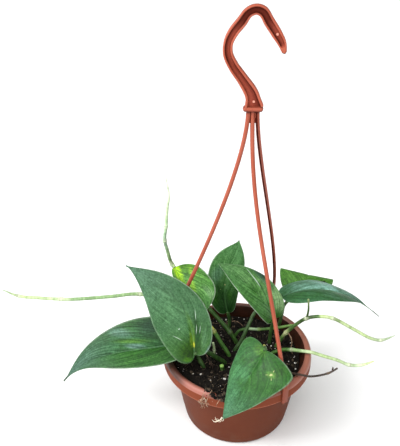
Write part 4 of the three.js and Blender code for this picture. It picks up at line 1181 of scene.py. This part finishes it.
coarse_lumps, small_lumps = lump_templates(5, 2), lump_templates(8, 1)
piece("soil_bed", [soil_bed_shape()], [peat], "soil", ["soil"])
heap = []
for azimuth, radius, size in SPILL:
    spot = polar(radius, math.radians(azimuth), SPILL_HEIGHT)
    heap.append(lumps_shape([spot], [0.95 * size], coarse_lumps, 0.6, shade=0.25))
loose = np.concatenate([on_soil(1150), on_spill(260), on_lip(330)])
crumbs = lumps_shape(loose, chance.uniform(0.4, 1.8, len(loose)) ** 1.25, small_lumps)
piece("soil_crumbs", [*heap, crumbs], [peat], "soil", ["soil"])

grain_places = [[x, y, soil_height(x, y) + 0.7] for x, y in GRAINS]
grain_sizes = [*chance.uniform(0.8, 1.5, len(GRAINS)), *chance.uniform(0.25, 0.75, STREWN_GRAINS)]
grains = lumps_shape([*grain_places, *on_soil(STREWN_GRAINS)], grain_sizes, small_lumps)
piece("white_grains", [grains], [white_grain], "soil")

fibres = fibres_at(on_soil(230), 1.1, (4, 12), (0.12, 0.25), 0.5, (0.8, 1.4))
fibres += fibres_at(on_spill(34), 0, (4, 9), (0.1, 0.2), 0.7, (0.85, 1.4))
fibres += fibres_at(on_lip(26), 1.4, (4, 11), (0.12, 0.22), 0.6, (0.9, 1.5))
piece("soil_fibres", fibres, [peat], "soil")

# %% [markdown]
# Dried roots hang over the lip in a small tangle, and the tip of the front leaf has dried into pale curls.
# A fresh root comes down to the soil from a runner's joint, and two more lie on the soil. All are thin
# tubes along curly paths, because hair strands would not be part of the exported model.

# %% Make roots and dried curls
def curl_shape(centre, size, thickness, turns, shade, count=40):
    """A loose curl that lies against the pot's outside."""
    t = np.linspace(0, 1, count)
    start, tilt = chance.uniform(0, 2 * np.pi, 2)
    angle = start + 2 * np.pi * turns * t
    radius = size * (0.35 + 0.65 * chance.random() * t + 0.2 * np.sin(5 * t + tilt))
    out, up = unit(np.array([centre[0], centre[1], 0.0])), np.array([0, 0, 1.0])
    place = centre + np.outer(radius * np.cos(angle), np.cross(out, up))
    place = place + np.outer(radius * np.sin(angle), up)
    place = place + np.outer(0.7 * np.sin(3 * angle + tilt) + 0.4, out)
    return tube_shape(place, thickness * np.linspace(1, 0.5, count), {"shade": shade}, sides=5)


TANGLE, TANGLE_SPREAD, TANGLE_CURLS = [-29.0, -70.7, 71.5], [2.6, 0.2, 3.2], 18
HANGING_ROOTS = [
    ([[-27, -64, 82], [-30, -69.5, 79.5], [-31.5, -72, 75], [-29.6, -71.8, 70]], [0.3, 0.2]),
    ([[-22, -66, 83], [-25, -71.5, 80], [-26.5, -73.4, 76], [-28.5, -72.4, 71]], [0.3, 0.2]),
    ([[-13, -68, 84], [-14, -73.5, 80.5], [-16.5, -75.4, 76], [-17.6, -75.2, 72.6]], [0.28, 0.2]),
]
tangle = []
for _ in range(TANGLE_CURLS):
    centre = TANGLE + chance.normal(size=3) * TANGLE_SPREAD
    ranges = ((1.4, 4.6), (0.13, 0.22), (0.3, 0.9), (-0.2, 0.6))
    tangle.append(curl_shape(centre, *(chance.uniform(low, high) for low, high in ranges)))
tangle += [stem_shape(path, radius) for path, radius in HANGING_ROOTS]
piece("root_tangle", tangle, [dry_root], "soil")

DRIED_CURLS = [
    (0.9, [[-11.6, -91.2, 75.6], [-13.0, -92.2, 73.4], [-15.2, -92.6, 72.2], [-17.0, -92.0, 73.2],
           [-17.6, -91.2, 75.4]]),
    (0.5, [[-12.6, -91.0, 74.4], [-12.0, -92.0, 72.6], [-13.6, -92.8, 71.2], [-15.6, -92.4, 71.4]]),
    (0.75, [[-14.2, -91.4, 72.4], [-16.2, -92.4, 71.0], [-18.6, -92.2, 70.6], [-20.4, -91.0, 71.8]]),
    (0.3, [[-13.4, -91.6, 72.0], [-14.6, -92.6, 74.2], [-16.6, -92.6, 74.6], [-17.8, -91.6, 72.8],
           [-17.0, -91.0, 71.0]]),
    (0.8, [[-11.0, -91.2, 74.6], [-10.2, -91.8, 73.0], [-11.4, -92.4, 71.6]]),
]
dried = []
for shade, path in DRIED_CURLS:
    dried.append(stem_shape(path, [0.38, 0.2], sharp=0.3))
    dried[-1]["marks"]["shade"] = shade
piece("leaf_tip_dried", dried, [dry_root], "leaf_dark")

FRESH_ROOTS = [
    ([[51, 9, 94], [54.5, 7, 89], [56, 6.5, 82], [55.4, 6, 76], [57, 4.5, 70]], [0.55, 0.35]),
    ([[-32.5, -2.4, 71.6], [-30, -8, 73], [-28, -13, 72.4], [-26.5, -18.5, 71]], [0.35, 0.3]),
    ([[-6, 52, 71.5], [-2, 50, 73.6], [3, 47, 73], [6, 45, 71]], [0.4, 0.3]),
]
piece("fresh_roots", [stem_shape(path, radius) for path, radius in FRESH_ROOTS], [dry_root], "stem_pale")

# %% [markdown]
# ## The hanger
# The hook, the bar and the three arms are one moulding. To save plastic the hook is a channel: a thin web
# with a rounded flange on each edge. It could be cut from a thick plate with a boolean, but a section swept
# along the hook's middle line gives cleaner faces and lets the flanges be round, as they are. The channel's
# faces get a finish of their own: its floor is duller, and it is painted darker than the flanges, as shade.

# %% Sweep the hook
HOOK_LINE = [
    [8.8, 332, 6.8], [6.4, 343, 5.6], [-1.5, 355.5, 4.4], [-8.6, 365.3, 4.1], [-13.1, 375, 3.9],
    [-12.9, 384, 3.8], [-9.2, 391.8, 4.0], [-3, 399.5, 4.1], [2, 406.2, 3.7], [7.8, 408.6, 3.7],
    [13.2, 406.8, 4.0], [18.2, 399.3, 4.2], [24, 391, 4.1], [28.6, 383.5, 3.4], [31, 376, 1.7],
]
HOOK_DEPTH, HOOK_FLANGE, HOOK_RECESS = 7, 2.2, 2.3
HOOK_STATIONS, CHANNEL_END, CLOSING = 200, 0.95, 0.012
HOOK_FLARE = dict(width=0.9, height=333, reach=4)
BEND_FROM, BEND_RISE, SHADE_TURNS_AT = 393, 8, 368
GROOVE = 2


def hook_section(half, recess):
    """The channel's section as (across, depth, painted shade) points: a round flange, its wall and the flat
    web.
    """
    deep, flange = HOOK_DEPTH / 2, min(HOOK_FLANGE, 0.45 * half)
    sunk = recess / HOOK_RECESS
    corner = max(half - flange - 0.3, 0.3)
    quarter = [
        (half, 0.4 * (deep - recess), 0), (half, deep - 0.8, 0), (half - 0.25, deep - 0.22, 0),
        (half - 0.85, deep, 0), (half - flange + 0.3, deep - 0.25 * sunk, 0.1 * sunk),
        (half - flange + 0.05, deep - 0.8 * sunk, 0.6 * sunk), (corner + 0.15, deep - 0.85 * recess, sunk),
        (corner, deep - recess, sunk), (0.55 * corner, deep - recess, 0.6 * sunk),
        (0.25 * corner, deep - recess, 0.5 * sunk),
    ]
    top = quarter + [(-x, y, c) for x, y, c in reversed(quarter)]
    return np.array(top + [(-x, -y, c) for x, y, c in top])


def hook_shape():
    x, z, width = np.array(HOOK_LINE).T
    t = np.linspace(0, 1, HOOK_STATIONS)
    path = smooth_path(np.stack([x, 0 * x, z], 1), t)
    half = np.interp(t * (len(width) - 1), np.arange(len(width)), width)
    half = half + HOOK_FLARE["width"] * hump(path[:, 2] - HOOK_FLARE["height"], HOOK_FLARE["reach"])
    half = half * np.clip((1.001 - t) / CLOSING, 0, 1) ** 0.5
    recess = HOOK_RECESS * np.clip((CHANNEL_END - t) / CLOSING, 0, 1)
    ahead = unit(np.gradient(path, axis=0))
    left = np.stack([-ahead[:, 2], np.zeros(len(t)), ahead[:, 0]], 1)
    rings, cave = [], []
    for place, side, wide, deep in zip(path, left, half, recess):
        across, depth, hollow = hook_section(wide, deep).T
        rings.append(place + np.outer(across, side) + np.outer(depth, [0, 1, 0]))
        # Painted shade in the channel: darker on one wall, which changes side at SHADE_TURNS_AT, dark all
        # round in the bend.
        in_bend = np.clip((place[2] - BEND_FROM) / BEND_RISE, 0, 1)
        dark_side = -side[0] * np.sign(across) * math.tanh((place[2] - SHADE_TURNS_AT) / 4)
        shaded = hollow * np.clip(0.72 + 0.45 * dark_side, 0, 1)
        cave.append(shaded + (hollow**0.25 - shaded) * in_bend)
    sides = len(cave[0])
    in_channel = [5 <= k % (sides // 2) <= 13 for k in range(sides)]
    before_end = [row < CHANNEL_END * len(t) for row in range(len(t) - 1)]
    places = [GROOVE * (inside and early) for early in before_end for inside in in_channel]
    return sweep(rings, {"cave": np.concatenate(cave)}, places + [0, 0])


# %% [markdown]
# Below the hook a rounded bar joins the arms, with a small web between them. Each arm is a half-round
# strip: smooth outside, and deeply hollowed along the side that faces the plant. It ends in a flat tab that
# grips the pot's skirt. A plain bevelled curve would miss the hollow, so a drawn section is carried along
# each arm's curve. A mark says how much painted shade each part of the section gets: most in the hollow,
# and a painted shadow on the arms right under the bar.

# %% Sweep the arms and their tabs
BAR = dict(x=7.9, top=333, length=17, height=4.4, depth=8)
ARM_RADIUS, ARM_SPACING = 1.7, 3.9
TAB = dict(inside=RIM_RADIUS + 0.3, thickness=1.9, width=6.6, top=89, bottom=67.1)
FOOT_GAP, CLAW_THICKNESS, CLAW_HEIGHT, BEVEL = 0.3, 1.6, 3.4, 0.35
ARMS = {
    "left": dict(azimuth=178.4, place=-1, drop=58, inward=20, lift=52),
    "front": dict(azimuth=-53.1, place=0, drop=86, inward=38, lift=122),
    "back": dict(azimuth=62.7, place=1, drop=50, inward=-36, lift=31),
}
ARM_SECTION = [
    (1.0, 0.0), (0.92, 0.42), (0.68, 0.76), (0.35, 0.95), (0, 1.0), (-0.35, 0.95), (-0.68, 0.76),
    (-0.92, 0.42), (-1.0, 0.0), (-0.95, -0.5), (-0.78, -0.95), (-0.62, -1.12), (-0.46, -1.05),
    (-0.42, -0.8), (-0.34, -0.35), (0.34, -0.35), (0.42, -0.8), (0.46, -1.05), (0.62, -1.12),
    (0.78, -0.95), (0.95, -0.5),
]
ARM_STATIONS, BAR_STATIONS = 110, 31
BAR_STRAIGHT, BAR_FULLNESS = 0.72, 0.6
OUTER_SHADE, RIM_SHADE, HOLLOW_SHADE = 0.12, 0.32, 1.0


def arm_shape(azimuth, place, drop, inward, lift):
    out, up = polar(1, math.radians(azimuth), 0), np.array([0, 0, 1])
    start = np.array([BAR["x"] + place * ARM_SPACING, 0, BAR["top"] - BAR["height"] + 1])
    end = out * (TAB["inside"] + TAB["thickness"] / 2) + up * (TAB["top"] - 4)
    corners = [start, start - up * drop, end - out * inward + up * lift, end]
    path, ahead = bezier(corners, np.linspace(0, 1, ARM_STATIONS))
    ahead = unit(ahead)
    facing = unit(out - ahead * (ahead @ out)[:, None])
    across = np.cross(ahead, facing)
    x, y = np.array(ARM_SECTION).T
    rings = [p + ARM_RADIUS * (np.outer(x, a) + np.outer(y, f)) for p, a, f in zip(path, across, facing)]
    # Painted shade: most in the hollow, some on its rims, little on the smooth outside.
    cave = np.select([y >= 0, np.abs(x) > 0.45], [OUTER_SHADE, RIM_SHADE], HOLLOW_SHADE)
    # Painted shadow on the arms right under the bar.
    below_bar = start[2] - 1 - path[:, 2]
    under_bar = np.where(below_bar < 1.2, 0.9, 0.32 * np.clip(1 - below_bar / 12, 0, 1))
    return sweep(rings, {"cave": np.maximum.outer(under_bar, cave).ravel()}, flip=True)


def slab_shape(outline, width, azimuth=0.0, cave=0.0, finish=0):
    """A bevelled plate whose outline lies in the plane of (out, up)."""
    outline = np.array(outline, float)
    out, up = polar(1, azimuth, 0), np.array([0, 0, 1])
    across = np.cross(out, up)
    trim = BEVEL * np.sign(outline - outline.mean(axis=0))
    rings = []
    for depth, small in ((-width / 2, 1), (-width / 2 + BEVEL, 0), (width / 2 - BEVEL, 0), (width / 2, 1)):
        flat = outline - small * trim
        rings.append(np.outer(flat[:, 0], out) + np.outer(flat[:, 1], up) + across * depth)
    return sweep(rings, {"cave": cave}, finish)


def upright_box(near, far, low, high):
    return [[near, low], [near, high], [far, high], [far, low]]


def tab_shapes(azimuth):
    """A plate outside the skirt, a foot under it and a claw behind it."""
    inside, outside, bottom = TAB["inside"], TAB["inside"] + TAB["thickness"], TAB["bottom"]
    under = SKIRT_BOTTOM - FOOT_GAP
    claw = SKIRT_INSIDE * math.cos(math.pi / 36) - 0.6
    outlines = [
        upright_box(inside, outside, bottom, TAB["top"]),
        upright_box(claw - CLAW_THICKNESS, outside - 0.4, bottom, under),
        upright_box(claw - CLAW_THICKNESS, claw, bottom + 0.1, under + CLAW_HEIGHT),
    ]
    return [slab_shape(outline, TAB["width"], math.radians(azimuth)) for outline in outlines]


def bar_shape(sides=20):
    """The bar, rounded all round like a lozenge."""
    turn = circle(sides)
    round_y, round_z = (np.abs(wave) ** BAR_FULLNESS * np.sign(wave) for wave in (np.cos(turn), np.sin(turn)))
    rings = []
    for x in np.linspace(-1, 1, BAR_STATIONS):
        past = np.clip((abs(x) - BAR_STRAIGHT) / (1 - BAR_STRAIGHT), 0, 1)
        size = max((1 - past**2.4) ** 0.5, 0.05)
        y = size * round_y * BAR["depth"] / 2
        z = BAR["top"] - BAR["height"] / 2 + size * round_z * BAR["height"] / 2
        rings.append(np.stack([np.full(sides, BAR["x"] + x * BAR["length"] / 2), y, z], 1))
    # Painted shade on the bar: half on the top, little at the front and back, full underneath.
    shade = np.where(np.sin(turn) > 0.5, 0.5, np.clip(0.22 - 1.2 * np.sin(turn), 0, 1))
    return sweep(rings, {"cave": np.tile(shade, len(rings))})


# %% [markdown]
# The hanger's plastic is redder and brighter than the pot. It takes the same recipe, with one more coat
# of painted shade in its hollows. The tabs and the arms' lowest part are painted a darker red, as shade.
# The small round marks in the channel were left by the pins that push the moulding out, and are painted
# lighter, as a highlight. A dark image could stand for the shaded hollows, but the shade mark follows them.

# %% Make the hanger
PIN_MARKS, PIN_RADIUS = [[24.7, 390.4], [8.3, 337]], 1.05
TAB_SHADE = (0.2, 0.042, 0.018)
WEB_THICKNESS = 1.5
SHARP_FROM = math.radians(55)


def hollowed(name, tones, roughness, specular, hollow, strength):
    """Moulded plastic with painted shade, strongest where the shade mark is high."""
    skin = moulded(name, *tones, roughness, specular)
    skin.paint(skin.calc("MULTIPLY", skin.mark("cave"), strength), hollow)
    return skin


def pin_shapes():
    """A low round mark for each pin, on both faces of the web."""
    web_face, pins = HOOK_DEPTH / 2 - HOOK_RECESS, []
    for x, z in PIN_MARKS:
        for face in (-1, 1):
            path = [[x, face * (web_face - 0.2), z], [x, face * (web_face + 0.35), z]]
            pins.append(tube_shape(path, PIN_RADIUS, sides=20, finish=1))
    return pins


def web_shape():
    """The thin web between the arms, just below the bar."""
    left, right = BAR["x"] - ARM_SPACING, BAR["x"] + ARM_SPACING
    low, high = BAR["top"] - BAR["height"] - 10, BAR["top"] - 1
    # The web is painted in full shade, with the groove's darker finish.
    return slab_shape(upright_box(left, right, low, high)[::-1], WEB_THICKNESS, cave=1.0, finish=GROOVE)


hanger_tones = (0.36, 0.074, 0.036), (0.44, 0.11, 0.062), (0.27, 0.05, 0.023)
# The groove's tones are darker than the hanger's, as painted shade.
groove_tones = (0.28, 0.052, 0.028), (0.34, 0.073, 0.045), (0.23, 0.04, 0.02)
hanger_plastic = hollowed("hanger_plastic", hanger_tones, 0.34, 0.25, (0.06, 0.004, 0.002), 0.93)
# Painted shade on the tabs and the arms' lowest part.
hanger_plastic.paint(hanger_plastic.fade(hanger_plastic.axis("Z"), 0.093, 0.086, 0.0, 0.9), TAB_SHADE)
hanger_groove = hollowed("hanger_groove", groove_tones, 0.55, 0.04, (0.045, 0.003, 0.001), 0.9)
# The pin marks are painted pale, as a highlight.
pin_highlight = moulded("pin_highlight", (0.62, 0.24, 0.16), (0.7, 0.32, 0.24), (0.5, 0.17, 0.1), 0.34, 0.4)

hook_parts = [hook_shape(), bar_shape(), web_shape(), *pin_shapes()]
hook_finishes = [hanger_plastic, pin_highlight, hanger_groove]
hook = piece("hanger_hook", hook_parts, hook_finishes, "hanger_plastic", ["hanger"])
hook.data.set_sharp_from_angle(angle=SHARP_FROM)
for name, arm in ARMS.items():
    arm_parts = [arm_shape(**arm), *tab_shapes(arm["azimuth"])]
    made = piece("hanger_arm_" + name, arm_parts, [hanger_plastic], "hanger_plastic", ["hanger"])
    made.data.set_sharp_from_angle(angle=SHARP_FROM)

# %% [markdown]
# ## The stage
# The floor is plain and nearly white, wide enough to fill the view. Most of the light is a bright sky that
# is strongest above the front left, like a very large soft box: it shades the leaves and leaves only a
# faint shadow. Three smaller panels add what such a sky can't, the narrow sheen on the leaves, the lip and
# the hook.

# %% Set the floor and the light
FLOOR_REACH, FLOOR_DROP = 8000, 0.5
SKY_FROM, SKY_DIM, SKY_BRIGHT = (-0.4, -0.5, 0.8), 0.14, 1.75
PANELS = {
    "window_left": dict(place=(-0.8, -0.75, 1.35), target=(0, 0, 0.12), size=0.35, power=6.0),
    "fill_right": dict(place=(0.9, -0.9, 1.1), target=(0, 0, 0.12), size=0.4, power=2.0),
    "glint_left": dict(place=(-1.05, -0.4, 0.95), target=(0, 0, 0.1), size=0.42, power=6.5),
}


def make_floor():
    paper = Finish("floor_paper", roughness=0.9, specular=0.1)
    paper.coat = (0.94, 0.94, 0.94)
    paper.paint(paper.speckle(3, 2), (0.97, 0.97, 0.97))
    signs = ((-1, -1), (1, -1), (1, 1), (-1, 1))
    corners = [(x * FLOOR_REACH, y * FLOOR_REACH, -FLOOR_DROP) for x, y in signs]
    mesh = mesh_of("floor", corners, [(0, 1, 2, 3)])
    mesh.materials.append(paper.material)
    placed("floor", mesh)


def soft_panel(name, place, target, size, power):
    """A round light that looks at its target. Places and sizes are in metres."""
    light = bpy.data.lights.new(name, "AREA")
    light.shape, light.size, light.energy = "DISK", size, power
    panel = placed(name, light)
    panel.location = place
    panel.rotation_euler = (Vector(target) - Vector(place)).to_track_quat("-Z", "Y").to_euler()


def make_sky(toward, dim, bright):
    """A world that is bright in one direction and dim in the other."""
    world = bpy.data.worlds.new("studio")
    world.use_nodes = True
    sky = Recipe(world.node_tree)
    background = sky.tree.nodes["Background"]
    directions = {0: sky.add("TexCoord").outputs["Generated"], 1: Vector(toward).normalized()}
    facing = sky.add("VectorMath", directions, operation="DOT_PRODUCT").outputs["Value"]
    sky.feed(background.inputs["Strength"], sky.fade(facing, -0.15, 0.95, dim, bright))
    sky.feed(background.inputs["Color"], (1.0, 1.0, 1.0))
    bpy.context.scene.world = world


make_floor()
make_sky(SKY_FROM, SKY_DIM, SKY_BRIGHT)
for name, panel in PANELS.items():
    soft_panel(name, **panel)
bpy.context.scene.view_settings.view_transform = "Standard"

# %% [markdown]
# ## The camera
# The photograph was taken from a little above, in front of the plant. The camera's place, its small tilts
# and its lens were worked out from the round rim, the hanger and the pot's known sizes. A camera set by eye
# would be nearer or farther than the real one, and the rim's ellipse would show it.

# %% Place the camera
EYE = (0.0, -478.9, 484.1)
PITCH, PAN, ROLL = math.radians(28.57), math.radians(-4.37), math.radians(-0.54)
FOCAL_PIXELS, PHOTO_HEIGHT, SENSOR = 600.0, 446.0, 36.0

ahead = Vector((math.sin(PAN) * math.cos(PITCH), math.cos(PAN) * math.cos(PITCH), -math.sin(PITCH)))
right = Vector((math.cos(PAN), -math.sin(PAN), 0.0))
up = right.cross(ahead)
right, up = math.cos(ROLL) * right + math.sin(ROLL) * up, math.cos(ROLL) * up - math.sin(ROLL) * right
lens = bpy.data.cameras.new("camera")
lens.sensor_width, lens.lens = SENSOR, FOCAL_PIXELS / PHOTO_HEIGHT * SENSOR
lens.clip_start, lens.clip_end = 0.01, 100.0
camera = placed("camera", lens)
camera.matrix_world = Matrix.Translation(MM * Vector(EYE)) @ Matrix((right, up, -ahead)).transposed().to_4x4()
bpy.context.scene.camera = camera
print("lens in mm:", round(lens.lens, 2))
